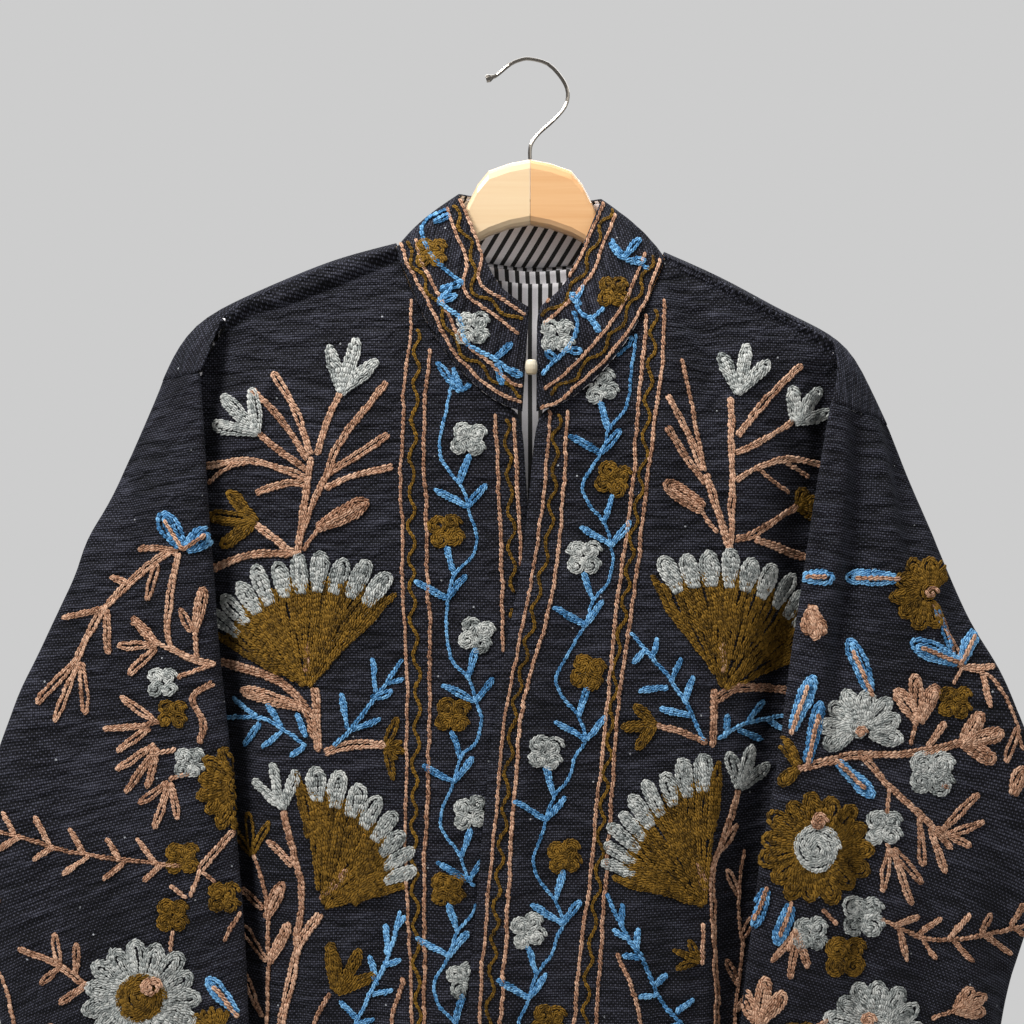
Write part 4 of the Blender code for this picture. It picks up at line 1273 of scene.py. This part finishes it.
COLLAR_DRAWING: tuple[Motif, ...] = (
    Stem(S, ((-56, -111), (-48, -131), (-39, -156), (-41, -178), (-24, -190), (-4, -204)), 1, 3.5),
    Wavy(O, ((-61, -116), (-54, -135), (-45, -158), (-46, -182), (-27, -198), (-7, -210))),
    Stem(S, ((-66, -118), (-59, -140), (-51, -161), (-52, -185), (-32, -202), (-9, -218)), 1, 3.5),
    Stem(S, ((-103, -146), (-98, -164), (-79, -198), (-62, -233), (-41, -254), (-21, -268), (-7, -274)),
        1, 3.5),
    Wavy(O, ((-98, -145), (-93, -162), (-75, -195), (-58, -228), (-38, -247), (-18, -262), (-6, -267))),
    Stem(S, ((-91, -143), (-86, -161), (-70, -192), (-54, -223), (-34, -241), (-17, -256), (-6, -261)),
        1, 3.5),
    Stem(S, ((59, -114), (48, -138), (38, -162), (21, -186), (7, -199)), 1, 3.5),
    Wavy(O, ((65, -116), (54, -140), (44, -166), (26, -190), (9, -206))),
    Stem(S, ((70, -119), (60, -143), (50, -168), (30, -194), (10, -212)), 1, 3.5),
    Stem(S, ((104, -159), (89, -198), (69, -228), (43, -256), (22, -273), (9, -278)), 1, 3.5),
    Wavy(O, ((98, -156), (82, -194), (63, -223), (38, -250), (16, -267))),
    Stem(S, ((92, -154), (76, -191), (58, -218), (34, -244), (10, -262)), 1, 3.5), Posy(O, (-79, -155), 30),
    Posy(O, (66, -186), 30), Posy(G, (-46, -215)), Posy(G, (22, -221)),
    Stem(B, ((-66, -119), (-87, -135), (-75, -161), (-54, -178))), Leaf(B, (-77, -129), (-64, -124)),
    Leaf(B, (-72, -183), (-54, -178)), Leaf(B, (-74, -194), (-58, -188)),
    Stem(B, ((-62, -182), (-72, -193), (-56, -207), (-51, -226), (-28, -239), (-18, -249))),
    Leaf(B, (-28, -239), (-14, -226)), Leaf(B, (-26, -242), (-23, -260)), Leaf(B, (-20, -246), (-7, -252)),
    Stem(B, ((66, -143), (74, -158), (85, -161), (94, -167))), Leaf(B, (75, -158), (88, -142)),
    Leaf(B, (74, -158), (64, -146)), Leaf(B, (80, -161), (92, -161)),
    Stem(B, ((59, -198), (48, -206), (38, -196), (43, -180))), Leaf(B, (48, -206), (54, -217)),
    Leaf(B, (40, -196), (32, -185)), Stem(B, ((35, -201), (37, -215), (26, -234), (10, -250))),
    Leaf(B, (29, -231), (42, -233)), Leaf(B, (21, -239), (12, -233)),
)

RIGHT_SLEEVE_DRAWING: tuple[Motif, ...] = (
    Bud(B, (-278, -389), (-294, -362), 17), Bud(B, (-275, -390), (-256, -377), 19),
    Stem(S, ((-281, -394), (-298, -390), (-313, -391)), 2, 3.6),
    Stem(S, ((-288, -393), (-302, -402), (-341, -439), (-362, -479)), 2, 3.8),
    Leaf(S, (-306, -431), (-298, -403)), Leaf(S, (-341, -438), (-373, -446), 7),
    Leaf(S, (-338, -439), (-337, -474)), Leaf(S, (-320, -419), (-334, -414)),
    Leaf(S, (-362, -479), (-394, -514), 9), Leaf(S, (-361, -481), (-380, -529), 9),
    Leaf(S, (-358, -481), (-354, -522), 9),
    Stem(S, ((-281, -394), (-288, -431), (-289, -461), (-280, -474), (-254, -483)), 2, 3.8),
    Leaf(S, (-268, -457), (-261, -422), 11), Leaf(S, (-270, -457), (-280, -439), 9),
    Stem(S, ((-268, -457), (-266, -478))), Leaf(S, (-298, -467), (-318, -445), 10),
    Leaf(S, (-300, -468), (-329, -467), 9), Leaf(S, (-298, -470), (-321, -490), 9),
    Stem(S, ((-302, -463), (-284, -473), (-268, -480))),
    Stem(S, ((-253, -498), (-270, -509), (-261, -530), (-265, -545)), 2, 3.4), Posy(G, (-294, -498), 30),
    Posy(O, (-286, -523), 28), Posy(G, (-273, -562), 30),
    Stem(S, ((-252, -482), (-270, -489), (-282, -494))), Leaf(S, (-298, -530), (-327, -509), 9),
    Leaf(S, (-304, -531), (-341, -534), 8), Leaf(S, (-304, -534), (-330, -552), 8),
    Stem(S, ((-311, -532), (-296, -529))), Leaf(S, (-300, -547), (-331, -567), 8),
    Leaf(S, (-299, -550), (-323, -585), 8), Leaf(S, (-297, -550), (-306, -582), 8),
    Stem(S, ((-303, -555), (-284, -550))), Leaf(S, (-289, -577), (-313, -595), 8),
    Leaf(S, (-288, -578), (-300, -614), 8), Leaf(S, (-286, -578), (-281, -607), 8),
    Stem(S, ((-288, -575), (-272, -571))), Daisy(O, (-230, -581), 74, 8, O, first=95, last=262),
    Fern(S, ((-278, -644), (-320, -640), (-360, -634), (-424, -616)), 5, 23), Posy(O, (-278, -638), 32),
    Posy(O, (-245, -670), 30), Posy(O, (-286, -684), 32), Stem(S, ((-288, -660), (-274, -670))),
    Stem(S, ((-264, -647), (-252, -633), (-238, -617)), 2, 3.6), Stem(S, ((-264, -647), (-272, -668))),
    Stem(S, ((-262, -649), (-251, -658))), Stem(S, ((-232, -681), (-245, -704))),
    Stem(S, ((-286, -696), (-288, -712))), Daisy(G, (-311, -750), 94, 15, O, 0.46, dot=(-302, -740)),
    Stem(S, ((-355, -739), (-380, -721), (-408, -711)), 2, 3.6), Leaf(S, (-376, -724), (-380, -697)),
    Leaf(S, (-363, -731), (-362, -706)), Leaf(S, (-376, -726), (-392, -739)),
    Leaf(S, (-357, -740), (-376, -754)), Bud(B, (-235, -762), (-258, -734), 13),
    Stem(S, ((-424, -671), (-440, -695), (-416, -751), (-408, -799))),
    Daisy(O, (-252, -779), 45, 10, G, 0.4, first=60, last=230),
    Stem(S, ((-352, -783), (-379, -788), (-408, -783))), Leaf(S, (-376, -788), (-384, -771)),
    Tulip(S, (-336, -804), -120, 32, 30, 12),
)

LEFT_SLEEVE_DRAWING: tuple[Motif, ...] = (
    Bud(B, (219, -413), (242, -413), 14), Tulip(S, (226, -436), -85, 27, 16, 12),
    Bud(B, (292, -414), (253, -413), 14),
    Daisy(O, (318, -426), 59, 8, O, 0.3, dot=(319, -426), first=55, last=285),
    Stem(S, ((323, -434), (334, -458), (345, -486)), 2, 3.6), Bud(B, (342, -482), (306, -466), 17),
    Bud(B, (344, -481), (357, -455), 14), Leaf(B, (339, -479), (325, -438), 8),
    Stem(S, ((345, -486), (338, -499))), Posy(O, (339, -514), 32),
    Stem(S, ((344, -486), (370, -484)), 2, 3.6),
    Stem(S, ((347, -486), (370, -495), (386, -523), (394, -551))), Leaf(S, (362, -492), (367, -517)),
    Leaf(S, (389, -534), (380, -561)), Tulip(S, (311, -529), 95, 37, 30, 14),
    Tulip(S, (345, -546), 14, 33, 42, 14), Leaf(S, (386, -587), (394, -566), 14),
    Daisy(G, (264, -535), 67, 8, G, 0.3, dot=(264, -537), first=-15, last=205),
    Bud(B, (272, -505), (256, -463), 14), Bud(B, (210, -535), (226, -492), 14),
    Bud(B, (222, -561), (232, -513), 12), Bud(B, (246, -561), (274, -588), 14),
    Stem(S, ((214, -566), (248, -558), (264, -556), (304, -554), (345, -546)), 2, 4),
    Stem(S, ((304, -547), (309, -529))), Leaf(S, (318, -549), (332, -529)), Posy(G, (321, -570), 42),
    Disc(S, (331, -582), 5), Stem(S, ((264, -553), (285, -578), (305, -597), (324, -615)), 2, 3.8),
    Leaf(S, (328, -617), (358, -587)), Leaf(S, (330, -620), (363, -609)), Leaf(S, (324, -614), (352, -628)),
    Leaf(S, (316, -607), (337, -630)), Leaf(S, (320, -614), (332, -649)), Leaf(S, (312, -603), (313, -644)),
    Stem(S, ((287, -582), (285, -602))), Posy(G, (283, -614), 34), Stem(S, ((285, -626), (290, -638))),
    Leaf(S, (287, -630), (282, -665)), Leaf(S, (290, -630), (304, -675)), Leaf(S, (290, -630), (313, -658)),
    Daisy(O, (229, -630), 90, 15, G, 0.46, dot=(232, -608)), Leaf(O, (214, -563), (202, -541), 13),
    Leaf(O, (214, -566), (200, -578), 13), Posy(G, (266, -685), 40), Posy(G, (224, -699), 34),
    Posy(O, (252, -717), 38), Stem(S, ((234, -679), (246, -691))), Stem(B, ((186, -668), (178, -692))),
    Bud(B, (189, -663), (178, -692), 13), Bud(B, (208, -675), (197, -706), 14),
    Fern(S, ((280, -686), (311, -701), (345, -703), (370, -698), (395, -692)), 5, 24),
    Stem(S, ((213, -694), (206, -711))), Leaf(S, (213, -695), (194, -720)),
    Leaf(S, (213, -697), (208, -734)), Leaf(S, (214, -697), (222, -725)),
    Tulip(S, (182, -769), 81, 36, 33, 14), Stem(S, ((182, -769), (176, -799))),
    Daisy(G, (275, -775), 80, 13, G, 0.4, dot=(270, -767)), Tulip(S, (340, -759), 25, 26, 30, 12),
    Stem(S, ((340, -759), (320, -767))), Posy(O, (216, -783), 34), Stem(S, ((224, -775), (238, -767))),
    Fern(S, ((300, -799), (336, -811), (376, -807)), 3, 20),
)


RIGHT_FRONT_CREASES = (
    Crease(((-262, -300), (-258, -400), (-250, -480), (-242, -600), (-230, -740), (-222, -900)), 25.0, -17.0),
    Crease(((-236, -205), (-250, -240), (-258, -280), (-262, -350)), 15.0, -12.0),
    Crease(((-232, -560), (-214, -640), (-206, -720)), 9.0, 4.2),
    Crease(((-196, -236), (-208, -262), (-214, -300)), 8.0, 4.1),
    Crease(((-206, -655), (-192, -700), (-176, -760), (-170, -830)), 9.0, -4.4),
    Crease(((-118, -560), (-112, -640), (-116, -700), (-124, -770)), 7.0, -3.7),
    Crease(((-178, -688), (-150, -700), (-122, -706)), 10.0, 4.1),
    Crease(((-160, -676), (-140, -664), (-112, -668)), 6.0, -2.7),
    Crease(((-72, -560), (-66, -660), (-68, -780), (-60, -880)), 11.0, 3.1),
    Crease(((-44, -480), (-36, -560), (-30, -660), (-34, -760)), 7.0, -2.7),
    Crease(((-150, -780), (-146, -830), (-150, -886)), 12.0, 4.4),
)
LEFT_FRONT_CREASES = (
    Crease(((212, -440), (200, -520), (188, -600), (177, -700), (171, -800), (169, -900)), 34.0, -29.0),
    Crease(((224, -240), (228, -310), (222, -390), (210, -470), (198, -550)), 32.0, -24.0),
    Crease(((102, -176), (106, -230), (104, -300), (94, -380)), 13.0, 6.0),
    Crease(((112, -176), (128, -206), (142, -240), (146, -300)), 10.0, -7.0),
    Crease(((136, -540), (140, -640), (139, -760), (142, -880)), 7.0, 4.4),
    Crease(((222, -225), (236, -262), (240, -330), (236, -420)), 11.0, -6.2),
    Crease(((210, -236), (219, -280), (222, -330)), 7.0, 3.4),
    Crease(((20, -380), (6, -480), (-10, -600), (-24, -740), (-34, -880)), 8.0, 3.1),
    Crease(((40, -420), (30, -520), (18, -620)), 9.0, -2.5),
    Crease(((88, -560), (82, -660), (70, -780), (60, -880)), 10.0, 2.7),
    Crease(((112, -640), (104, -740), (92, -840)), 8.0, -3.4),
)
SLEEVE_CREASES = (
    Crease(((-330, -300), (-318, -360), (-300, -430), (-288, -500)), 12.0, -5.4),
    Crease(((-352, -330), (-346, -400), (-330, -470)), 14.0, 4.1),
    Crease(((-276, -600), (-270, -680), (-262, -760), (-256, -830)), 10.0, -6.8),
    Crease(((-300, -640), (-290, -720), (-282, -800)), 12.0, 4.4),
    Crease(((-402, -470), (-396, -560), (-404, -660), (-398, -760)), 14.0, 4.1),
    Crease(((-372, -500), (-366, -590), (-374, -690)), 10.0, -4.1),
    Crease(((-330, -700), (-334, -770), (-328, -840)), 10.0, -4.4),
    Crease(((-246, -520), (-240, -600), (-236, -680), (-230, -760)), 8.0, -5.1),
)
LEFT_SLEEVE_CREASES = (
    Crease(((258, -262), (258, -335), (253, -399), (242, -463), (234, -527), (226, -591)), 8.0, -8.0),
    Crease(((244, -266), (240, -335), (232, -399), (222, -463), (215, -527)), 8.0, 4.5),
    Crease(((264, -268), (274, -311), (280, -367), (288, -440)), 9.0, 6.0),
    Crease(((284, -284), (294, -335), (303, -400)), 9.0, -5.0),
    Crease(((262, -262), (280, -270), (298, -272)), 5.0, -3.6),
    Crease(((224, -500), (229, -570), (236, -650), (238, -740)), 8.0, 6.1),
    Crease(((246, -520), (250, -600), (255, -690), (252, -790)), 8.0, -6.8),
    Crease(((330, -380), (338, -450), (352, -520)), 13.0, -4.4),
    Crease(((356, -400), (368, -480), (380, -560)), 14.0, 3.7),
    Crease(((300, -640), (306, -720), (302, -800)), 11.0, -5.4),
    Crease(((340, -600), (346, -690), (340, -780)), 12.0, 4.4),
    Crease(((376, -640), (374, -720), (380, -800)), 10.0, -4.4),
)
BACK_CREASES = (
    Crease(((-196, -330), (-190, -430), (-200, -560), (-194, -700), (-200, -860)), 18.0, -5.8, Side.REAR),
    Crease(((-120, -300), (-112, -420), (-118, -560), (-110, -700)), 20.0, 4.4, Side.REAR),
    Crease(((-60, -480), (-52, -600), (-58, -740), (-50, -870)), 16.0, -4.8, Side.REAR),
    Crease(((10, -250), (14, -360), (8, -480)), 22.0, 3.7, Side.REAR),
    Crease(((70, -420), (78, -540), (70, -680), (76, -850)), 17.0, -4.4, Side.REAR),
    Crease(((140, -320), (150, -450), (142, -600), (150, -760)), 18.0, 4.8, Side.REAR),
    Crease(((206, -380), (200, -500), (208, -640), (202, -820)), 15.0, -5.8, Side.REAR),
    Crease(((-90, -182), (-40, -196), (30, -198), (92, -182)), 9.0, -1.0, Side.REAR),
)

LINING_SAG = (
    Crease(((0, -200), (0, -260), (0, -330), (0, -420)), 34.0, -37.0, Side.REAR),
    Crease(((0, -270), (0, -350), (0, -410), (0, -490)), 34.0, -37.0, Side.REAR),
)


PANELS = (
    Panel("back", (0.57, 0.74), levels=1, creases=BACK_CREASES,
        rests_on=("hanger_arm_left", "hanger_arm_right"), lipped=True),
    Panel("front_right", (0.28, 0.72), creases=RIGHT_FRONT_CREASES,
        roll=((-108, -163), (-152, -181), (-196, -198), (-222, -205), (-240, -217))),
    Panel("front_left", (0.28, 0.72), creases=LEFT_FRONT_CREASES,
        roll=((109, -164), (174, -199), (212, -219), (237, -235))),
    Panel("sleeve_right", (0.58, 0.40), tilt=-12, creases=SLEEVE_CREASES, inside=None, underarm=(-271, -484)),
    Panel("sleeve_left", (0.58, 0.40), tilt=12, creases=LEFT_SLEEVE_CREASES,
        inside=None, underarm=(271, -500)),
    Panel("collar", (0.42, 0.085)),
)
LININGS = (
    Panel("collar_lining", (0.41, 0.07), wall=0.9, levels=1, rim=60.0, slot="striped_lining"),
    Panel("back_lining", (0.20, 0.24), wall=0.9, levels=1, slot="striped_lining", creases=LINING_SAG),
)
DRAWINGS = {
    "front_right": ((*RIGHT_BORDER, *RIGHT_FRONT_DRAWING), ()),
    "front_left": ((*LEFT_BORDER, *LEFT_FRONT_DRAWING), ()),
    "collar": (COLLAR_DRAWING, ()),
    "sleeve_right": (RIGHT_SLEEVE_DRAWING, RIGHT_SLEEVE_DRAWING),
    "sleeve_left": (LEFT_SLEEVE_DRAWING, LEFT_SLEEVE_DRAWING),
    "back": ((), (*BACK_BORDER, *RIGHT_FRONT_DRAWING, *LEFT_FRONT_DRAWING)),
}


@dataclass
class Embroidery:
    """All the chain stitch on one panel: a joined mesh of links for each yarn."""

    node: str
    cloth: bpy.types.Object
    skin: BVHTree
    others: tuple[BVHTree, ...]
    front: tuple[Motif, ...] = ()
    rear: tuple[Motif, ...] = ()

    CLEARANCE = 3.4

    def land(self, route: np.ndarray, side: Side) -> list:
        """Drops a route's places on to the cloth.

        Args:
            route: Places on the hanger's plane.
            side: Which way the drawing is laid.

        Returns:
            A place on the cloth in millimetres and its facing for each, or None where there is no room.
        """
        landed = []
        for across, up in route:
            aim = Vector((across, 0.0, up))
            start = EYE if side is Side.FRONT else Vector((across, 300.0, up))
            ahead = (aim - start).normalized()
            at, facing, _, _ = self.skin.ray_cast(start * MM, ahead)
            if at is None or facing.dot(ahead) > -0.08:
                landed.append(None)
                continue
            clear = all(other.ray_cast(at, facing, self.CLEARANCE * MM)[0] is None for other in self.others)
            landed.append((at / MM, facing) if clear else None)
        return landed

    def stitch(self, run: Run, side: Side, dice: random.Random) -> list[tuple]:
        """Works out the links of one row.

        Args:
            run: The row.
            side: Which way it is laid.
            dice: The source of the hand's unevenness.

        Returns:
            For each link its start, its end, its facing, its width, its lift and its tone.
        """
        route = run.route if side is Side.FRONT else smoothed(run.route, PITCH * 1.3)
        route = route + HAND * hand_drift(len(route), dice)
        landed = self.land(route, side)
        tone = 0.42 + dice.uniform(-0.14, 0.14)
        links = []
        for here, there in zip(landed, landed[1:]):
            if here is None or there is None or (there[0] - here[0]).length > 2.4 * PITCH:
                continue
            facing = (here[1] + there[1]).normalized()
            wide = run.width * dice.uniform(0.86, 1.16)
            raised = run.lift + dice.uniform(-0.15, 0.4)
            skew = facing.cross(there[0] - here[0]).normalized() * wide * dice.gauss(TWIST, 0.08)
            shade = tone + dice.uniform(-0.2, 0.2)
            links.append((here[0] - skew, there[0] + skew, facing, wide, raised, shade))
        return links

    def build(self) -> list[bpy.types.Object]:
        """Builds one object for each yarn that the panel has.

        Returns:
            The meshes, one a yarn.
        """
        dice = random.Random(self.node)
        by_yarn: dict[Yarn, list[tuple]] = {}
        for side, motifs in ((Side.FRONT, self.front), (Side.REAR, self.rear)):
            for motif in motifs:
                for run in motif.runs():
                    by_yarn.setdefault(run.yarn, []).extend(self.stitch(run, side, dice))
        made = [self.join(yarn, links) for yarn, links in by_yarn.items() if links]
        LOG.info("%s: %d stitches", self.node, sum(len(links) for links in by_yarn.values()))
        return made

    def join(self, yarn: Yarn, links: list[tuple]) -> bpy.types.Object:
        """Copies the one link shape to every place, as one mesh.

        Args:
            yarn: The links' yarn.
            links: The places from `stitch`.

        Returns:
            The joined object.
        """
        shape, corners = link_shape()
        start, end, facing = (np.array([link[i] for link in links], float) for i in (0, 1, 2))
        wide, raised, tone = (np.array([link[i] for link in links], float) for i in (3, 4, 5))
        along = end - start
        facing = facing - along * ((facing * along).sum(1) / (along**2).sum(1))[:, None]
        facing /= np.linalg.norm(facing, axis=1)[:, None]
        across = np.cross(facing, along / np.linalg.norm(along, axis=1)[:, None])
        points = (
            start[:, None]
            + shape[None, :, 0, None] * along[:, None]
            + shape[None, :, 1, None] * (across * wide[:, None])[:, None]
            + (shape[None, :, 2] * wide[:, None] + raised[:, None])[..., None] * facing[:, None]
        )
        faces = (corners[None] + np.arange(len(links))[:, None, None] * len(shape)).reshape(-1, 3)
        mesh = bpy.data.meshes.new(f"{self.node}_{yarn.value[0]}_stitches")
        mesh.vertices.add(points.shape[0] * points.shape[1])
        mesh.vertices.foreach_set("co", (points * MM).ravel())
        mesh.loops.add(faces.size)
        mesh.loops.foreach_set("vertex_index", faces.ravel())
        mesh.polygons.add(len(faces))
        mesh.polygons.foreach_set("loop_start", np.arange(len(faces)) * 3)
        mesh.update(calc_edges=True)
        mesh.shade_smooth()
        tone_and_shade = mesh.attributes.new("tone", "FLOAT", "POINT")
        # Painted shade: each link's tone is darkened towards its low points, the hollow between its strands.
        hollow = np.clip((shape[:, 2] - shape[:, 2].min()) / np.ptp(shape[:, 2]), 0, 1) ** 0.8
        tone_and_shade.data.foreach_set("value", (tone[:, None] + HOLLOW_SHADE * (hollow[None] - 1)).ravel())
        obj = bpy.data.objects.new(mesh.name, mesh)
        bpy.context.scene.collection.objects.link(obj)
        return obj


def hand_drift(count: int, dice: random.Random) -> np.ndarray:
    """Works out how far the hand strays from its line, wandering slowly.

    Args:
        count: How many places the row has.
        dice: The panel's random draws.

    Returns:
        How far it strays at each place.
    """
    strayed = np.zeros((count, 2))
    for step in range(1, count):
        strayed[step] = strayed[step - 1] * 0.72 + [dice.gauss(0, 0.5), dice.gauss(0, 0.5)]
    return strayed


def link_shape() -> tuple[np.ndarray, np.ndarray]:
    """Bends two thin strands into one chain stitch, which holds the foot of the next.

    Returns:
        Its points (along, across, up, in shares of its length and width) and its triangles.
    """
    points, corners = [], []
    for side in (-1, 1):
        bm = bmesh.new()
        bmesh.ops.create_uvsphere(bm, u_segments=3, v_segments=3, radius=1.0)
        bmesh.ops.triangulate(bm, faces=bm.faces)
        bm.verts.ensure_lookup_table()
        first = len(points)
        for vert in bm.verts:
            share = (vert.co.z + 1) / 2
            round_x, round_y = vert.co.y * 0.27, vert.co.x * 0.27
            if abs(vert.co.z) > 0.99:
                round_x = round_y = 0.0
            bulge = 0.24 * math.sin(math.pi * share)
            points.append((-0.2 + 1.36 * share, side * (0.02 + bulge) + round_x, 0.2 + round_y))
        corners += [[first + vert.index for vert in face.verts] for face in bm.faces]
        bm.free()
    return np.array(points), np.array(corners)


@dataclass
class Jacket:
    """The jacket: its panels, linings and embroidery."""

    panels: tuple[Panel, ...]
    linings: tuple[Panel, ...]
    drawings: dict[str, tuple[tuple[Motif, ...], tuple[Motif, ...]]]

    def build(self) -> None:
        """Builds every panel, then lays the stitches, then gives the cloth its thickness."""
        weave = SlubCotton().make()
        within = StripedCotton("Striped cotton lining, woven and printed", shift=4.5).make()
        slanted = StripedCotton("Striped cotton lining, cut on the slant", slant=-27.0).make()
        yarns = {yarn: SoftYarn(yarn).make() for yarn in Yarn}
        cloths = {panel.node: panel.build(weave, within) for panel in self.panels}
        skins = {node: skin_of(obj) for node, obj in cloths.items()}
        for node, (front, rear) in self.drawings.items():
            others = tuple(skin for other, skin in skins.items() if other != node)
            work = Embroidery(node, cloths[node], skins[node], others, front, rear)
            for obj in work.build():
                yarn = next(yarn for yarn in Yarn if f"_{yarn.value[0]}_" in obj.name)
                obj.data.materials.append(yarns[yarn])
                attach(obj, BODY)
        for panel in self.panels:
            panel.dress(cloths[panel.node])
        for panel in self.linings:
            finish = slanted if panel.node == "collar_lining" else within
            panel.dress(panel.build(finish, finish))


def skin_of(obj: bpy.types.Object) -> BVHTree:
    """Makes a search tree of a piece's faces, for rays.

    Args:
        obj: The piece.

    Returns:
        The tree.
    """
    bm = bmesh.new()
    bm.from_mesh(obj.data)
    tree = BVHTree.FromBMesh(bm)
    bm.free()
    return tree


@dataclass
class Hanger:
    """The wooden hanger and its hook, which keep their solids."""

    wood_nodes: tuple[str, str] = ("hanger_arm_right", "hanger_arm_left")
    steel_node: str = "hanger_hook"

    def dress(self) -> None:
        """Gives the solids their finishes, the hanger's right half with painted light and its left half with
        painted shade.
        """
        # One beech for both arms: the right arm's paler colours are painted light, the left arm's darker and
        # warmer colours painted shade.
        halves = (
            LacqueredBeech("Beech, turned and lacquered, paler half", "#FFE0B4", "#FAD6A6"),
            LacqueredBeech("Beech, turned and lacquered, warmer half", "#F8C48C", "#EFB47A"),
        )
        for node, finish in zip(self.wood_nodes, halves):
            give(bpy.data.objects[node], finish.make())
        give(bpy.data.objects[self.steel_node], NickelSteel().make())
        LOG.info("hanger: %d nodes", len(self.wood_nodes) + 1)


@dataclass
class Bead:
    """The bead at the collar's opening, which keeps its solid."""

    node: str = "bead_button"

    def dress(self) -> None:
        """Gives the bead its finish, shaded between its foot and its top."""
        low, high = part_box(self.node)
        give(bpy.data.objects[self.node], CreamBead(low[2], high[2]).make())
        LOG.info("%s: dressed", self.node)


def give(obj: bpy.types.Object, finish: bpy.types.Material) -> None:
    """Puts a finish in all of an object's material slots."""
    if not obj.material_slots:
        obj.data.materials.append(finish)
    for slot in obj.material_slots:
        slot.material = finish


@dataclass(frozen=True)
class Studio:
    """The plain floor, the soft lights and the camera."""

    floor_z: float = -1.3
    grey: str = "#CDCDCD"

    def build(self) -> None:
        """Builds the floor, the lights and the camera."""
        self.lay_floor()
        for name, at, energy, size in (
            ("Key", (-1.35, -1.4, 1.5), 66.0, 0.8),
            ("Fill", (1.7, -2.2, 0.2), 12.0, 2.2),
            ("Rear", (0.6, 2.2, 0.9), 30.0, 2.0),
            ("Top", (0.0, -0.1, 1.4), 24.0, 0.9),
        ):
            self.hang_light(name, Vector(at), energy, size)
        self.light_world()
        self.stand_camera()

    def lay_floor(self) -> None:
        """Lays the floor under the object."""
        bm = bmesh.new()
        bmesh.ops.create_circle(bm, cap_ends=True, segments=96, radius=1.6)
        bmesh.ops.translate(bm, verts=bm.verts, vec=(0, 0, self.floor_z))
        mesh = bpy.data.meshes.new("floor")
        bm.to_mesh(mesh)
        bm.free()
        floor = bpy.data.objects.new("floor", mesh)
        bpy.context.scene.collection.objects.link(floor)
        made, _, shader = start_material("Pale matt paper floor", Roughness=0.9)
        shader.inputs["Base Color"].default_value = linear(self.grey)
        mesh.materials.append(made)

    def hang_light(self, name: str, at: Vector, energy: float, size: float) -> None:
        """Hangs one soft square light, turned to the jacket's middle.

        Args:
            name: The light's name.
            at: Its place in metres.
            energy: Its power in watts.
            size: Its side in metres.
        """
        light = bpy.data.lights.new(name, "AREA")
        light.energy, light.size = energy, size
        obj = bpy.data.objects.new(name, light)
        obj.location = at
        obj.rotation_euler = (Vector((0, 0, -0.45)) - at).to_track_quat("-Z", "Y").to_euler()
        bpy.context.scene.collection.objects.link(obj)

    def light_world(self) -> None:
        """Fills the world with the plain grey behind and a softer light for the surfaces."""
        world = bpy.data.worlds.new("Studio")
        world.use_nodes = True
        bpy.context.scene.world = world
        tree = world.node_tree
        tree.nodes.clear()
        seen = add_node(tree, "ShaderNodeBackground", {"Color": linear(self.grey), "Strength": 1.0})
        lit = add_node(tree, "ShaderNodeBackground", {"Color": linear("#ECEDF0"), "Strength": 0.24})
        path = add_node(tree, "ShaderNodeLightPath")
        both = add_node(
            tree, "ShaderNodeMixShader",
            links={0: path.outputs["Is Camera Ray"], 1: lit.outputs[0], 2: seen.outputs[0]},
        )
        add_node(tree, "ShaderNodeOutputWorld", links={"Surface": both.outputs[0]})

    def stand_camera(self) -> None:
        """Stands the camera straight in front, at the height that frames the picture."""
        lens = bpy.data.cameras.new("Camera")
        lens.angle = 2 * math.atan(PICTURE_WIDTH / 2 / -EYE.y)
        lens.clip_start = 0.05
        camera = bpy.data.objects.new("Camera", lens)
        camera.location = EYE * MM
        camera.rotation_euler = (math.pi / 2, 0, 0)
        bpy.context.scene.collection.objects.link(camera)
        bpy.context.scene.camera = camera



def main() -> None:
    """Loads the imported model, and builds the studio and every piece."""
    logging.basicConfig(level=logging.INFO, format="%(name)s: %(message)s")
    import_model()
    bpy.context.scene.view_settings.view_transform = "Standard"
    Studio().build()
    jacket = Jacket(PANELS, LININGS, DRAWINGS)
    jacket.build()
    Hanger().dress()
    Bead().dress()


if __name__ == "__main__":
    main()
